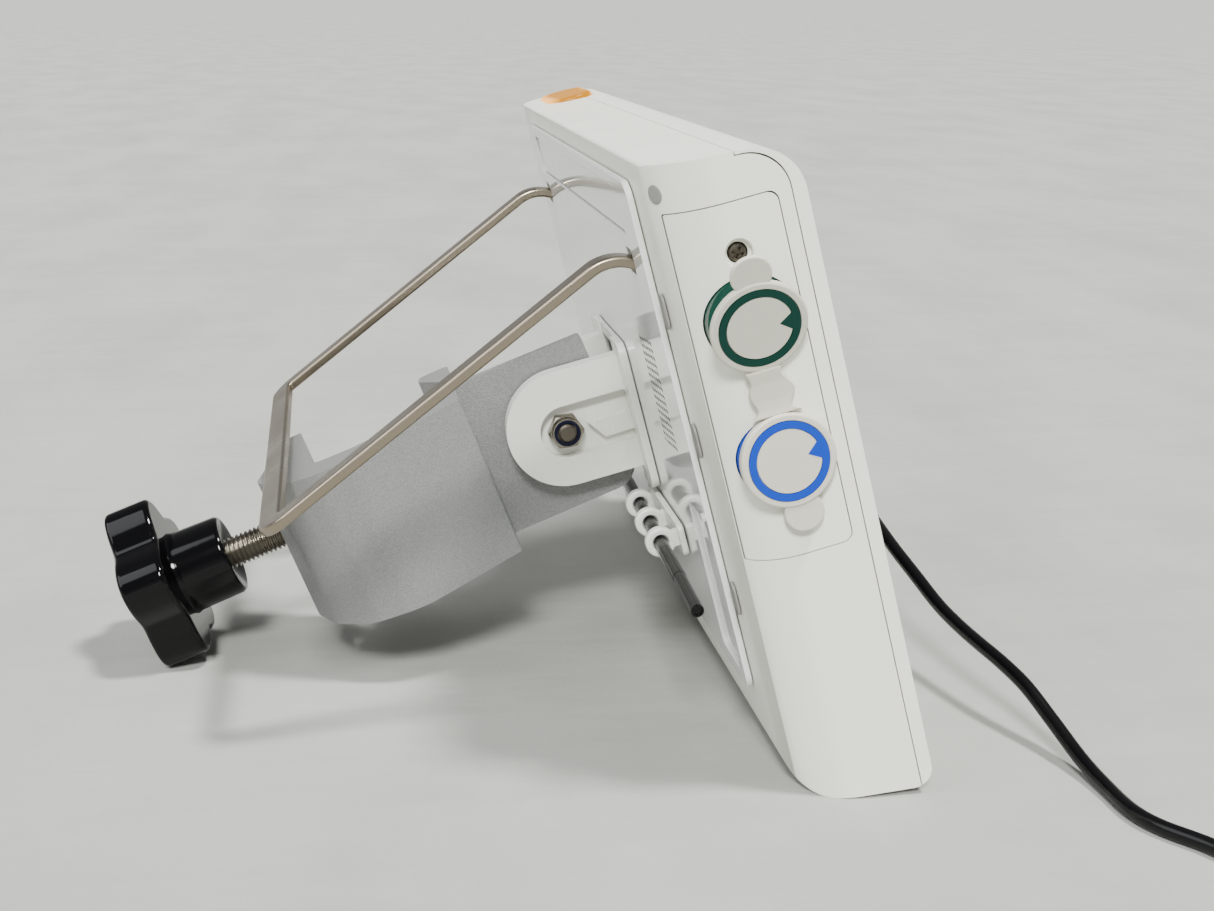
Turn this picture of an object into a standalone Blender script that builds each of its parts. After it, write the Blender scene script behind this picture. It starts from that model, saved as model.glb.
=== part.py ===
"""Patient monitor with a pole clamp, a bail handle, two capped side ports and a DC lead.

Frame: +Z up, the floor at Z = 0, +X along the screen's width, the screen facing -Y.
Every length below is in metres, most of them written as millimetres times MM.
"""

import math

import bmesh
import bpy
from mathutils import Euler, Matrix, Vector

MM = 0.001
GAP = 0.3 * MM

# Stance: the housing leans back and rests on its lower rear edge and on the clamp's knob.
LEAN = math.radians(14.3)
CLAMP_FALL = math.radians(20.9)
ORIGIN = Vector((1.65, -1.75, -0.07)) * MM
MONITOR_PLACE = Vector((3.5, -75.25, -2.0)) * MM
HINGE_X = 3.0 * MM
HINGE_BACK = 25.6 * MM
HINGE_UP = 83.5 * MM

# Housing, in the monitor's own frame: y = 0 on its rear face and negative towards the screen.
WIDTH = 264 * MM
HALF = WIDTH / 2
SEAM_DEPTH = 32.2 * MM
DEPTH = 36.0 * MM
TOP = 171.8 * MM
REAR_ROUND = 16 * MM
WALL = 2.6 * MM

# Side panel with its two ports, on the -X side. Depths are measured forward from the rear face.
PANEL_DEPTH = (1.9 * MM, 28.9 * MM)
PANEL_HEIGHT = (68.8 * MM, 159.6 * MM)
PORT_DEPTH = 16.3 * MM
GREEN_UP = 130.2 * MM
BLUE_UP = 94.6 * MM
PORT_RADIUS = 11.2 * MM
CAP_RADIUS = 12.1 * MM
CAP_TILT = math.radians(17)

# Bail handle: flat bar, 7.6 mm wide and 3.1 mm thick, cut as a U and bent once near its ends.
BAIL_HALF = 86 * MM
BAIL_BAR = 7.6 * MM
BAIL_THICK = 3.1 * MM
BAIL_STUB = 0.5 * MM
BAIL_BEND = 11 * MM
BAIL_UP = 140.95 * MM
BAIL_STUB_RISE = math.radians(30)
BAIL_LEG_FALL = math.radians(23.6)
BAIL_REACH = 123.4 * MM

# Clamp, in its own frame: y runs from the hinge towards the knob, z along the pole.
CLAMP_HALF_HEIGHT = 25.4 * MM
ARM_HALF_HEIGHT = 21.6 * MM
TONGUE_HALF = 12.2 * MM
EAR_THICK = 5.6 * MM
EAR_RADIUS = 18.5 * MM
EAR_RISE = 1 * MM
POCKET_DEEP = 3.4 * MM
SCREW_RADIUS = 4.9 * MM
SCREW_TIP = 64.5 * MM
HUB_END = 112.3 * MM
KNOB_RADIUS = 26.8 * MM
KNOB_VALLEY = 20.8 * MM
KNOB_TURN = math.radians(18.0)
KNOB_LOBES = 5

# DC lead.
CORD_RADIUS = 2.1 * MM
COIL_RADIUS = 24 * MM
COIL_BUNDLE = 6.3 * MM
COIL_CENTRE = Vector((-186.5, -208, 8.2)) * MM
INLET_DEPTH = 16 * MM
INLET_UP = 52 * MM


# ---------------------------------------------------------------- tools

def clear_scene():
    for old in list(bpy.data.objects):
        bpy.data.objects.remove(old)


def paint(name, colour, roughness, metallic=0.0, alpha=1.0, glow=0.0):
    material = bpy.data.materials.new(name)
    material.use_nodes = True
    shader = material.node_tree.nodes["Principled BSDF"]
    shader.inputs["Base Color"].default_value = (*colour, 1.0)
    shader.inputs["Roughness"].default_value = roughness
    shader.inputs["Metallic"].default_value = metallic
    shader.inputs["Alpha"].default_value = alpha
    if glow:
        shader.inputs["Emission Color"].default_value = (*colour, 1.0)
        shader.inputs["Emission Strength"].default_value = glow
    return material


def empty(name, parent=None, location=(0, 0, 0), rotation=(0, 0, 0)):
    holder = bpy.data.objects.new(name, None)
    bpy.context.collection.objects.link(holder)
    holder.parent = parent
    holder.location = location
    holder.rotation_euler = rotation
    return holder


def add(name, mesh_data, material=None, parent=None, location=(0, 0, 0), rotation=(0, 0, 0)):
    """Turn a bmesh into a named object; faces meet smoothly up to 35 degrees."""
    bmesh.ops.remove_doubles(mesh_data, verts=mesh_data.verts, dist=0.001 * MM)
    bmesh.ops.recalc_face_normals(mesh_data, faces=mesh_data.faces)
    mesh = bpy.data.meshes.new(name)
    mesh_data.to_mesh(mesh)
    mesh_data.free()
    mesh.shade_smooth()
    mesh.set_sharp_from_angle(angle=math.radians(35))
    thing = bpy.data.objects.new(name, mesh)
    bpy.context.collection.objects.link(thing)
    if material:
        mesh.materials.append(material)
    thing.parent = parent
    thing.location = location
    thing.rotation_euler = rotation
    return thing


def helper(name, mesh_data, parent=None, location=(0, 0, 0), rotation=(0, 0, 0)):
    """A cutter or a piece to be fused, which is not a part of its own."""
    tool = add(name, mesh_data, None, parent, location, rotation)
    tool.hide_render = True
    tool.display_type = "WIRE"
    return tool


def boolean(target, tool, operation):
    modifier = target.modifiers.new(tool.name, "BOOLEAN")
    modifier.operation = operation
    modifier.solver = "EXACT"
    modifier.object = tool
    return target


def cut(target, *tools):
    for tool in tools:
        boolean(target, tool, "DIFFERENCE")
    return target


def fuse(target, *tools):
    for tool in tools:
        boolean(target, tool, "UNION")
    return target


def keep_within(target, tool):
    return boolean(target, tool, "INTERSECT")


def rounded(corners, steps=5):
    """Closed outline through (u, v, radius) corners, each turned into an arc of its radius."""
    outline = []
    count = len(corners)
    for index, (u, v, radius) in enumerate(corners):
        here = Vector((u, v))
        if radius == 0:
            outline.append(here)
            continue
        before = (Vector(corners[index - 1][:2]) - here).normalized()
        after = (Vector(corners[(index + 1) % count][:2]) - here).normalized()
        half_angle = before.angle(after) / 2
        reach = radius / math.tan(half_angle)
        centre = here + (before + after).normalized() * (radius / math.sin(half_angle))
        start = here + before * reach - centre
        end = here + after * reach - centre
        sweep = start.angle_signed(end)
        for step in range(steps + 1):
            turn = Matrix.Rotation(-sweep * step / steps, 2)
            outline.append(centre + turn @ start)
    return outline


def box_outline(low_u, high_u, low_v, high_v, radius=0.0, steps=5):
    corners = [(low_u, low_v), (high_u, low_v), (high_u, high_v), (low_u, high_v)]
    return rounded([(u, v, radius) for u, v in corners], steps)


def circle(radius, sides, centre=(0, 0), start=0.0):
    turn = 2 * math.pi / sides
    return [
        Vector((
            centre[0] + radius * math.cos(start + turn * i),
            centre[1] + radius * math.sin(start + turn * i),
        ))
        for i in range(sides)
    ]


def prism(outline, low, high, axis):
    """Outline extruded from low to high along X, Y or Z; it holds the two other coordinates in order."""
    place = {
        "X": lambda u, v, along: (along, u, v),
        "Y": lambda u, v, along: (u, along, v),
        "Z": lambda u, v, along: (u, v, along),
    }[axis]
    solid = bmesh.new()
    near = [solid.verts.new(place(u, v, low)) for u, v in outline]
    far = [solid.verts.new(place(u, v, high)) for u, v in outline]
    solid.faces.new(near)
    solid.faces.new(list(reversed(far)))
    for i in range(len(outline)):
        j = (i + 1) % len(outline)
        solid.faces.new((near[i], near[j], far[j], far[i]))
    return solid


def block(low_x, high_x, low_y, high_y, low_z, high_z, radius=0.0, axis="Y"):
    spans = {"X": (low_x, high_x), "Y": (low_y, high_y), "Z": (low_z, high_z)}
    low, high = spans.pop(axis)
    (low_u, high_u), (low_v, high_v) = spans.values()
    return prism(box_outline(low_u, high_u, low_v, high_v, radius, 4), low, high, axis)


def turned(profile, sides, axis="Y", centre=(0, 0, 0)):
    """Solid of revolution of (radius, along) points; a profile off the axis closes into a ring."""
    solid = bmesh.new()
    rings = []
    for radius, along in profile:
        if radius == 0:
            rings.append([solid.verts.new((0, 0, along))])
            continue
        rings.append([solid.verts.new((p.x, p.y, along)) for p in circle(radius, sides)])
    closed = len(rings[0]) > 1
    pairs = list(zip(rings, rings[1:])) + ([(rings[-1], rings[0])] if closed else [])
    for one, two in pairs:
        for i in range(sides):
            j = (i + 1) % sides
            corners = [one[i % len(one)], one[j % len(one)], two[j % len(two)], two[i % len(two)]]
            unique = list(dict.fromkeys(corners))
            if len(unique) > 2:
                solid.faces.new(unique)
    turn = {
        "X": Matrix.Rotation(math.radians(90), 4, "Y"),
        "Y": Matrix.Rotation(math.radians(-90), 4, "X"),
        "Z": Matrix.Identity(4),
    }[axis]
    solid.transform(Matrix.Translation(centre) @ turn)
    return solid


def smooth_curve(points, spacing):
    """Points every `spacing` along a centripetal Catmull-Rom curve through the given points."""
    points = [Vector(p) for p in points]
    ends = [2 * points[0] - points[1]] + points + [2 * points[-1] - points[-2]]
    fine = []
    for p0, p1, p2, p3 in zip(ends, ends[1:], ends[2:], ends[3:]):
        t1 = (p1 - p0).length ** 0.5
        t2 = t1 + (p2 - p1).length ** 0.5
        t3 = t2 + (p3 - p2).length ** 0.5
        for step in range(24):
            t = t1 + (t2 - t1) * step / 24
            a1 = p0 + (p1 - p0) * (t / t1)
            a2 = p1 + (p2 - p1) * ((t - t1) / (t2 - t1))
            a3 = p2 + (p3 - p2) * ((t - t2) / (t3 - t2))
            b1 = a1 + (a2 - a1) * (t / t2)
            b2 = a2 + (a3 - a2) * ((t - t1) / (t3 - t1))
            fine.append(b1 + (b2 - b1) * ((t - t1) / (t2 - t1)))
    fine.append(points[-1])
    total = sum((b - a).length for a, b in zip(fine, fine[1:]))
    count = round(total / spacing)
    even = [fine[0]]
    walked = 0.0
    for a, b in zip(fine, fine[1:]):
        length = (b - a).length
        while len(even) < count and walked + length >= total * len(even) / count:
            even.append(a.lerp(b, (total * len(even) / count - walked) / length))
        walked += length
    even.append(fine[-1])
    return even


# ---------------------------------------------------------------- materials

def make_paints():
    return {
        "body": paint("satin_white_plastic", (0.80, 0.81, 0.78), 0.42),
        "gloss": paint("glossy_white_plastic", (0.82, 0.83, 0.81), 0.12),
        "glass": paint("display_glass", (0.01, 0.012, 0.016), 0.06),
        "panel": paint("display_panel", (0.05, 0.06, 0.08), 0.3),
        "board": paint("green_circuit_board", (0.03, 0.16, 0.07), 0.5),
        "battery": paint("battery_wrap", (0.05, 0.07, 0.14), 0.5),
        "dark": paint("black_plastic", (0.012, 0.012, 0.013), 0.35),
        "knob": paint("glossy_black_plastic", (0.006, 0.006, 0.007), 0.12),
        "orange": paint("lit_orange_lens", (1.0, 0.42, 0.05), 0.3, glow=1.2),
        "rubber": paint("warm_grey_rubber", (0.60, 0.575, 0.51), 0.6),
        "green": paint("dark_green_ring", (0.0, 0.10, 0.065), 0.45),
        "blue": paint("mid_blue_ring", (0.07, 0.22, 0.72), 0.45),
        "plug": paint("grey_rubber_plug", (0.42, 0.42, 0.40), 0.7),
        "steel": paint("bright_steel", (0.55, 0.53, 0.50), 0.28, 1.0),
        "brushed": paint("brushed_steel", (0.47, 0.43, 0.38), 0.38, 1.0),
        "navy": paint("navy_nylon", (0.01, 0.015, 0.09), 0.4),
        "cast": paint("silver_hammered_paint", (0.50, 0.52, 0.53), 0.45, 0.3),
        "nylon": paint("white_nylon", (0.72, 0.72, 0.69), 0.5),
        "cord": paint("black_cord", (0.008, 0.008, 0.009), 0.3),
        "dome": paint("grey_button", (0.35, 0.37, 0.39), 0.5),
    }


# ---------------------------------------------------------------- housing

def slab_outline(inset=0.0):
    """Side view of the closed housing as (y, z): y is minus the depth behind the screen."""
    corners = [
        (-inset, TOP - 0.1 * MM - inset, 1.5 * MM),
        (-inset, 1.26 * MM + inset, 11 * MM),
        (-DEPTH + inset, -4.5 * MM + inset, 5 * MM),
        (-DEPTH + inset, TOP - 2.0 * MM - inset, 13 * MM),
    ]
    return rounded(corners, 7)


def plan_outline(inset=0.0):
    """Top view as (x, y): square at the screen, rounded at the rear."""
    corners = [
        (-HALF + inset, -inset, REAR_ROUND - inset / 2),
        (HALF - inset, -inset, REAR_ROUND - inset / 2),
        (HALF - inset, -DEPTH - 10 * MM, 0),
        (-HALF + inset, -DEPTH - 10 * MM, 0),
    ]
    return rounded(corners, 8)


def slab(name, frame, inset=0.0, material=None):
    side = prism(slab_outline(inset), -HALF - 1 * MM, HALF + 1 * MM, "X")
    maker = add if material else helper
    solid = maker(name, side, *((material, frame) if material else (frame,)))
    plan = prism(plan_outline(inset), -20 * MM, TOP + 20 * MM, "Z")
    keep_within(solid, helper(name + "_plan", plan, frame))
    return solid


def seam_cut(extra):
    """Side view of everything in front of the seam, which turns back over the top edge."""
    front = SEAM_DEPTH + extra
    return rounded([
        (-front, -30 * MM, 0),
        (-front, TOP - 3.2 * MM + extra, 10.5 * MM),
        (-20.5 * MM - extra, TOP - 2.6 * MM + extra, 0),
        (-20.5 * MM - extra, TOP + 20 * MM, 0),
        (-80 * MM, TOP + 20 * MM, 0),
        (-80 * MM, -30 * MM, 0),
    ], 6)


def panel_window(extra):
    """The side panel's edge as (y, z): square at the rear, rounded towards the screen."""
    low_y, high_y = -PANEL_DEPTH[1] + extra, -PANEL_DEPTH[0] - extra
    low_z, high_z = PANEL_HEIGHT[0] + extra, PANEL_HEIGHT[1] - extra
    radius = 2.6 * MM
    return rounded([
        (low_y, low_z, radius),
        (high_y, low_z, 0),
        (high_y, high_z, 0),
        (low_y, high_z, radius),
    ], 4)


def build_rear_housing(frame, paints):
    housing = slab("rear_housing", frame, material=paints["body"])
    cavity = slab("housing_cavity", frame, inset=WALL)
    cut(
        housing,
        helper("seam_front", prism(seam_cut(0.0), -HALF * 1.2, HALF * 1.2, "X"), frame),
        cavity,
        helper("panel_opening", prism(panel_window(0.0), -HALF - 4 * MM, -HALF + 14 * MM, "X"), frame),
        helper("lens_opening", prism(lens_outline(GAP), TOP - 12 * MM, TOP + 8 * MM, "Z"), frame),
        helper("inlet_opening", prism(
            circle(6.3 * MM, 24, (-INLET_DEPTH, INLET_UP)), HALF - 8 * MM, HALF + 4 * MM, "X"), frame),
    )
    for row in range(7):
        for column in range(3):
            hole = (x_of_vent(column), z_of_vent(row, column))
            cut(housing, helper(f"vent_{row}_{column}", prism(
                circle(1.1 * MM, 8, hole), -WALL - 1 * MM, 1 * MM, "Y"), frame))
    return housing


def x_of_vent(column):
    return -76 * MM + column * 5 * MM


def z_of_vent(row, column):
    return 91 * MM + row * 4.4 * MM - column * 1.2 * MM


def build_front_bezel(frame, paints):
    bezel = slab("front_bezel", frame, material=paints["body"])
    keep_within(bezel, helper("bezel_front", prism(seam_cut(GAP), -HALF * 1.1, HALF * 1.1, "X"), frame))
    cut(
        bezel,
        helper("bezel_lens_opening", prism(lens_outline(GAP), TOP - 12 * MM, TOP + 8 * MM, "Z"), frame),
        helper("bezel_window", block(
            -117 * MM, 117 * MM, -DEPTH - 5 * MM, -DEPTH + 2.6 * MM, 18 * MM, 156 * MM, 3 * MM), frame),
        helper("bezel_inside", block(
            -114 * MM, 114 * MM, -DEPTH - 5 * MM, -20 * MM, 21 * MM, 153 * MM, 2 * MM), frame),
        helper("button_hole", prism(
            circle(5.2 * MM, 24, (104 * MM, 8.5 * MM)), -DEPTH - 5 * MM, -DEPTH + 8 * MM, "Y"), frame),
    )
    return bezel


def build_display(frame, paints):
    add("display_glass", block(
        -116.7 * MM, 116.7 * MM, -DEPTH + 0.2 * MM, -DEPTH + 2.3 * MM, 18.3 * MM, 155.7 * MM, 2.7 * MM),
        paints["glass"], frame)
    add("display_panel", block(
        -113.4 * MM, 113.4 * MM, -DEPTH + 3.2 * MM, -DEPTH + 8.5 * MM, 21.6 * MM, 152.4 * MM, 1.5 * MM),
        paints["panel"], frame)


def build_main_board(frame, paints):
    """Circuit board with its processor, memory, connectors and capacitors, soldered on as one assembly."""
    rear = -18.6 * MM
    board = add("main_board", block(
        -104 * MM, 104 * MM, rear - 1.6 * MM, rear, 26 * MM, 146 * MM, 3 * MM), paints["board"], frame)
    chips = [(-40, 96, 26, 26, 3), (0, 100, 14, 22, 2), (24, 98, 14, 22, 2), (62, 104, 18, 12, 5),
             (-82, 60, 8, 30, 6), (84, 52, 8, 22, 6), (-30, 48, 40, 8, 5), (30, 52, 30, 10, 4)]
    for number, (x, z, wide, tall, high) in enumerate(chips):
        fuse(board, helper(f"chip_{number}", block(
            (x - wide / 2) * MM, (x + wide / 2) * MM, rear - 0.5 * MM, rear + high * MM,
            (z - tall / 2) * MM, (z + tall / 2) * MM), frame))
    return board


def build_inside(frame, paints):
    build_main_board(frame, paints)
    add("battery_pack", block(
        24 * MM, 100 * MM, -12.4 * MM, -3.2 * MM, 112 * MM, 158 * MM, 3 * MM), paints["battery"], frame)
    add("speaker", turned([
        (0, -3.0 * MM), (13.5 * MM, -3.0 * MM), (13.5 * MM, -5.0 * MM), (10.5 * MM, -9.0 * MM),
        (0, -9.0 * MM),
    ], 28, "Y", (-71 * MM, 0, 103 * MM)), paints["dark"], frame)
    add("alarm_light_board", block(
        88 * MM, 122 * MM, -26.5 * MM, -9 * MM, TOP - 8.4 * MM, TOP - 6.8 * MM, 1 * MM, "Z"),
        paints["board"], frame)
    add("port_board", block(
        -121 * MM, -119.4 * MM, -27 * MM, -7 * MM, 80 * MM, 146 * MM, 1 * MM, "X"), paints["board"], frame)


def lens_outline(extra=0.0):
    return box_outline(
        92 * MM - extra, 127 * MM + extra, -23.6 * MM - extra, -7.2 * MM + extra, 7.5 * MM + extra, 6)


def build_alarm_light(frame, paints):
    pill = prism(lens_outline(), TOP - 6 * MM, TOP + 0.5 * MM, "Z")
    lens = add("alarm_light_lens", pill, paints["orange"], frame)
    bevel = lens.modifiers.new("soft_edge", "BEVEL")
    bevel.width = 0.8 * MM
    bevel.segments = 2
    bevel.limit_method = "ANGLE"
    return lens


# ---------------------------------------------------------------- side panel and ports

def build_side_panel(frame, paints):
    panel = slab("side_panel", frame, material=paints["body"])
    cut(panel, slab("panel_inside", frame, inset=WALL))
    keep_within(panel, helper("panel_edge", prism(
        panel_window(GAP), -HALF - 4 * MM, -HALF + 13 * MM, "X"), frame))
    for name, up in (("green", GREEN_UP), ("blue", BLUE_UP)):
        cut(panel, helper(f"{name}_port_hole", prism(
            circle(PORT_RADIUS + GAP, 32, (-PORT_DEPTH, up)), -HALF - 4 * MM, -HALF + 14 * MM, "X"), frame))
    screw_at = (-16.6 * MM, 147 * MM)
    recess = prism(circle(3.1 * MM, 20, screw_at), -HALF - 4 * MM, -HALF + 8 * MM, "X")
    cut(panel, helper("screw_recess", recess, frame))
    screw = add("side_panel_screw", turned([
        (0, -HALF + 1.0 * MM), (1.2 * MM, -HALF + 0.7 * MM), (2.7 * MM, -HALF + 1.3 * MM),
        (2.8 * MM, -HALF + 2.2 * MM), (1.5 * MM, -HALF + 2.6 * MM), (1.5 * MM, -HALF + 9 * MM),
        (0, -HALF + 9 * MM),
    ], 20, "X", (0, *screw_at)), paints["steel"], frame)
    return panel, screw


def build_port(name, up, frame, paints):
    """Round socket: a coloured collar flush with the side panel, with a floor behind it."""
    face = -HALF
    inner = PORT_RADIUS - 1.9 * MM
    return add(f"port_{name}", turned([
        (0, face + 9 * MM), (inner, face + 9 * MM), (inner, face), (PORT_RADIUS, face),
        (PORT_RADIUS, face + 10.5 * MM), (0, face + 10.5 * MM),
    ], 36, "X", (0, -PORT_DEPTH, up)), paints[name], frame)


def cap_pieces(name, holder, paints, tab_angle):
    """Rubber cap on its holder's X axis: a disc with a pull tab and a plug, and an inlaid coloured ring."""
    face = -1.9 * MM
    disc = add(f"cap_{name}", turned([
        (0, face), (8.1 * MM, face), (8.1 * MM, face + 0.7 * MM), (10.4 * MM, face + 0.7 * MM),
        (10.4 * MM, face), (11.4 * MM, face), (CAP_RADIUS, face + 0.7 * MM), (CAP_RADIUS, 0), (6.4 * MM, 0),
        (6.2 * MM, 3.0 * MM), (0, 3.0 * MM),
    ], 44, "X"), paints["rubber"], holder)
    tab = box_outline(-5 * MM, 5 * MM, 8 * MM, 19 * MM, 4.9 * MM, 6)
    tab_shape = prism(tab, -1.1 * MM, -0.1 * MM, "X")
    fuse(disc, helper(f"{name}_tab", tab_shape, holder, (0, 0, 0), (tab_angle, 0, 0)))
    ring = add(f"cap_{name}_ring", turned([
        (8.35 * MM, face - 0.05 * MM), (10.15 * MM, face - 0.05 * MM),
        (10.15 * MM, face + 0.45 * MM), (8.35 * MM, face + 0.45 * MM),
    ], 44, "X"), paints[name], holder)
    return disc, ring


def build_caps(frame, paints):
    green_at = (-HALF - 3.9 * MM, -PORT_DEPTH, GREEN_UP - 0.2 * MM)
    green = empty("cap_green_axis", frame, green_at, (0, -CAP_TILT, 0))
    blue = empty("cap_blue_axis", frame, (-HALF - 1.2 * MM, -PORT_DEPTH - 0.3 * MM, BLUE_UP))
    cap_pieces("green", green, paints, 0.0)
    cap_pieces("blue", blue, paints, math.radians(176))
    strap = rounded([
        (-20.0 * MM, GREEN_UP - 13.0 * MM, 1.5 * MM), (-11.4 * MM, GREEN_UP - 13.0 * MM, 1.5 * MM),
        (-11.6 * MM, 113.2 * MM, 2 * MM), (-12.6 * MM, 107.1 * MM, 1 * MM),
        (-21.0 * MM, 107.1 * MM, 1 * MM), (-20.0 * MM, 113.2 * MM, 2 * MM),
    ], 4)
    add("cap_strap", prism(strap, -HALF - 2.2 * MM, -HALF - 0.4 * MM, "X"), paints["rubber"], frame)


# ---------------------------------------------------------------- rear fittings

def build_rear_panel(frame, paints):
    """Glossy inset skin on the rear face, pierced for the vent, the bail's ends and the cover."""
    outer = box_outline(-102 * MM, 102 * MM, 22 * MM, 166 * MM, 5 * MM, 5)
    panel = add("rear_panel", prism(outer, GAP, 2.0 * MM, "Y"), paints["gloss"], frame)
    cut(panel, helper("cover_seat", block(
        -84 * MM, 84 * MM, -1 * MM, 4 * MM, 150 * MM, 163 * MM, 2 * MM), frame))
    cut(panel, helper("vent_seat", block(
        -80 * MM, -62 * MM, -1 * MM, 4 * MM, 84 * MM, 124 * MM, 4 * MM), frame))
    for side in (-1, 1):
        middle = side * (BAIL_HALF - BAIL_BAR / 2)
        cut(panel, helper(f"bail_slot_{side}", block(
            middle - 4.4 * MM, middle + 4.4 * MM, -1 * MM, 4 * MM,
            BAIL_UP - 1.5 * MM, BAIL_UP + 5.5 * MM), frame))
        cut(panel, helper(f"lower_recess_{side}", rotated_recess(side), frame))
    add("rear_cover", block(
        -83.7 * MM, 83.7 * MM, GAP, 1.4 * MM, 150.3 * MM, 162.7 * MM, 1.7 * MM), paints["gloss"], frame)
    return panel


def rotated_recess(side):
    low, high = sorted((side * 76 * MM, side * 97 * MM))
    return block(low, high, 1.0 * MM, 4 * MM, 27 * MM, 72 * MM, 3 * MM)


def build_screw_plugs(frame, paints):
    """Grey rubber plugs over the housing screws: three slots and a round one on each side."""
    for side, word in ((-1, "near"), (1, "far")):
        for number, up in enumerate((53, 98, 133)):
            outline = box_outline(
                side * 108.5 * MM - 2.6 * MM, side * 108.5 * MM + 2.6 * MM,
                (up - 4.6) * MM, (up + 4.6) * MM, 2 * MM, 4)
            add(f"slot_plug_{word}_{number + 1}", prism(outline, GAP, 0.9 * MM, "Y"), paints["plug"], frame)


def build_hinge_bracket(frame, paints):
    """White clevis: a base on the rear face and two ears, with a pocket for the nut in the near one."""
    base = block(
        HINGE_X - 27 * MM, HINGE_X + 27 * MM, 2.3 * MM, 4.6 * MM,
        HINGE_UP - 24 * MM, HINGE_UP + 24 * MM, 4 * MM)
    bracket = add("hinge_bracket", base, paints["body"], frame)
    middle = HINGE_UP + EAR_RISE
    ear = rounded([
        (2.6 * MM, middle - EAR_RADIUS, 0),
        (HINGE_BACK + EAR_RADIUS, middle - EAR_RADIUS, EAR_RADIUS * 0.995),
        (HINGE_BACK + EAR_RADIUS, middle + EAR_RADIUS, EAR_RADIUS * 0.995),
        (2.6 * MM, middle + EAR_RADIUS, 0),
    ], 10)
    for side in (-1, 1):
        inner = HINGE_X + side * (TONGUE_HALF + 0.9 * MM)
        outer = inner + side * EAR_THICK
        fuse(bracket, helper(f"ear_{side}", prism(ear, *sorted((inner, outer)), "X"), frame))
        pocket = rounded([
            (3.4 * MM, HINGE_UP - 8.2 * MM, 0), (HINGE_BACK + 8.2 * MM, HINGE_UP - 8.2 * MM, 8.1 * MM),
            (HINGE_BACK + 8.2 * MM, HINGE_UP + 8.2 * MM, 8.1 * MM), (3.4 * MM, HINGE_UP + 8.2 * MM, 0),
        ], 7)
        far = outer + side * 2 * MM
        cut(bracket, helper(f"nut_pocket_{side}", prism(
            pocket, *sorted((outer - side * POCKET_DEEP, far)), "X"), frame))
    cut(
        bracket,
        helper("pivot_bore", prism(
            circle(3.1 * MM, 24, (HINGE_BACK, HINGE_UP)), HINGE_X - 30 * MM, HINGE_X + 30 * MM, "X"), frame),
        helper("base_window", block(
            HINGE_X - TONGUE_HALF - 0.85 * MM, HINGE_X + TONGUE_HALF + 0.85 * MM, 1 * MM, 9 * MM,
            HINGE_UP - 30 * MM, HINGE_UP + 30 * MM), frame),
    )
    for side in (-1, 1):
        fuse(bracket, helper(f"base_bridge_{side}", block(
            HINGE_X - 22 * MM, HINGE_X + 22 * MM, 2.3 * MM, 3.4 * MM,
            HINGE_UP + side * 21.9 * MM - 1.9 * MM, HINGE_UP + side * 21.9 * MM + 1.9 * MM), frame))
    return bracket


def hexagon(radius, centre):
    return circle(radius, 6, centre, math.radians(8))


def build_pivot(frame, paints):
    centre = (HINGE_BACK, HINGE_UP)
    ear_face = TONGUE_HALF + 0.9 * MM + EAR_THICK - POCKET_DEEP
    near = HINGE_X - ear_face - GAP
    far = HINGE_X + ear_face + GAP
    add("pivot_bolt", turned([
        (0, near - 5.9 * MM), (2.4 * MM, near - 5.9 * MM), (2.95 * MM, near - 5.3 * MM), (2.95 * MM, far),
        (5.5 * MM, far), (5.5 * MM, far + 3.6 * MM), (4.9 * MM, far + 4.2 * MM), (0, far + 4.2 * MM),
    ], 24, "X", (0, *centre)), paints["steel"], frame)
    hexagonal = prism(hexagon(5.6 * MM, centre), near - 3.8 * MM, near, "X")
    nut = add("pivot_nut", hexagonal, paints["steel"], frame)
    collar = prism(circle(4.75 * MM, 24, centre), near - 5.2 * MM, near - 1 * MM, "X")
    fuse(nut, helper("nut_collar", collar, frame))
    bore = prism(circle(3.05 * MM, 24, centre), near - 9 * MM, near + 1 * MM, "X")
    cut(nut, helper("nut_bore", bore, frame))
    seat = prism(circle(4.25 * MM, 24, centre), near - 9 * MM, near - 3.9 * MM, "X")
    cut(nut, helper("nut_seat", seat, frame))
    add("nut_lock_ring", turned([
        (3.15 * MM, near - 5.0 * MM), (4.1 * MM, near - 5.0 * MM), (4.1 * MM, near - 4.1 * MM),
        (3.15 * MM, near - 4.1 * MM),
    ], 24, "X", (0, *centre)), paints["navy"], frame)
    for side, word in ((-1, "near"), (1, "far")):
        face = HINGE_X + side * (TONGUE_HALF + GAP / 2)
        outer = face + side * 0.5 * MM
        add(f"pivot_washer_{word}", turned([
            (3.1 * MM, face), (9 * MM, face), (9 * MM, outer), (3.1 * MM, outer),
        ], 28, "X", (0, *centre)), paints["nylon"], frame)


def bail_path(along):
    """Place and direction, in the side plane, of a point `along` the bail's lower face from its end."""
    turn = BAIL_STUB_RISE + BAIL_LEG_FALL
    start = Vector((2.6 * MM, BAIL_UP))
    arc = BAIL_BEND * turn
    heading = BAIL_STUB_RISE
    first = min(along, BAIL_STUB)
    place = start + first * Vector((math.cos(heading), math.sin(heading)))
    if along > BAIL_STUB:
        part = min(along - BAIL_STUB, arc) / BAIL_BEND
        centre = place + BAIL_BEND * Vector((math.sin(heading), -math.cos(heading)))
        heading -= part
        place = centre + BAIL_BEND * Vector((-math.sin(heading), math.cos(heading)))
    if along > BAIL_STUB + arc:
        place += (along - BAIL_STUB - arc) * Vector((math.cos(heading), math.sin(heading)))
    return place, Vector((-math.sin(heading), math.cos(heading)))


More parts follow.
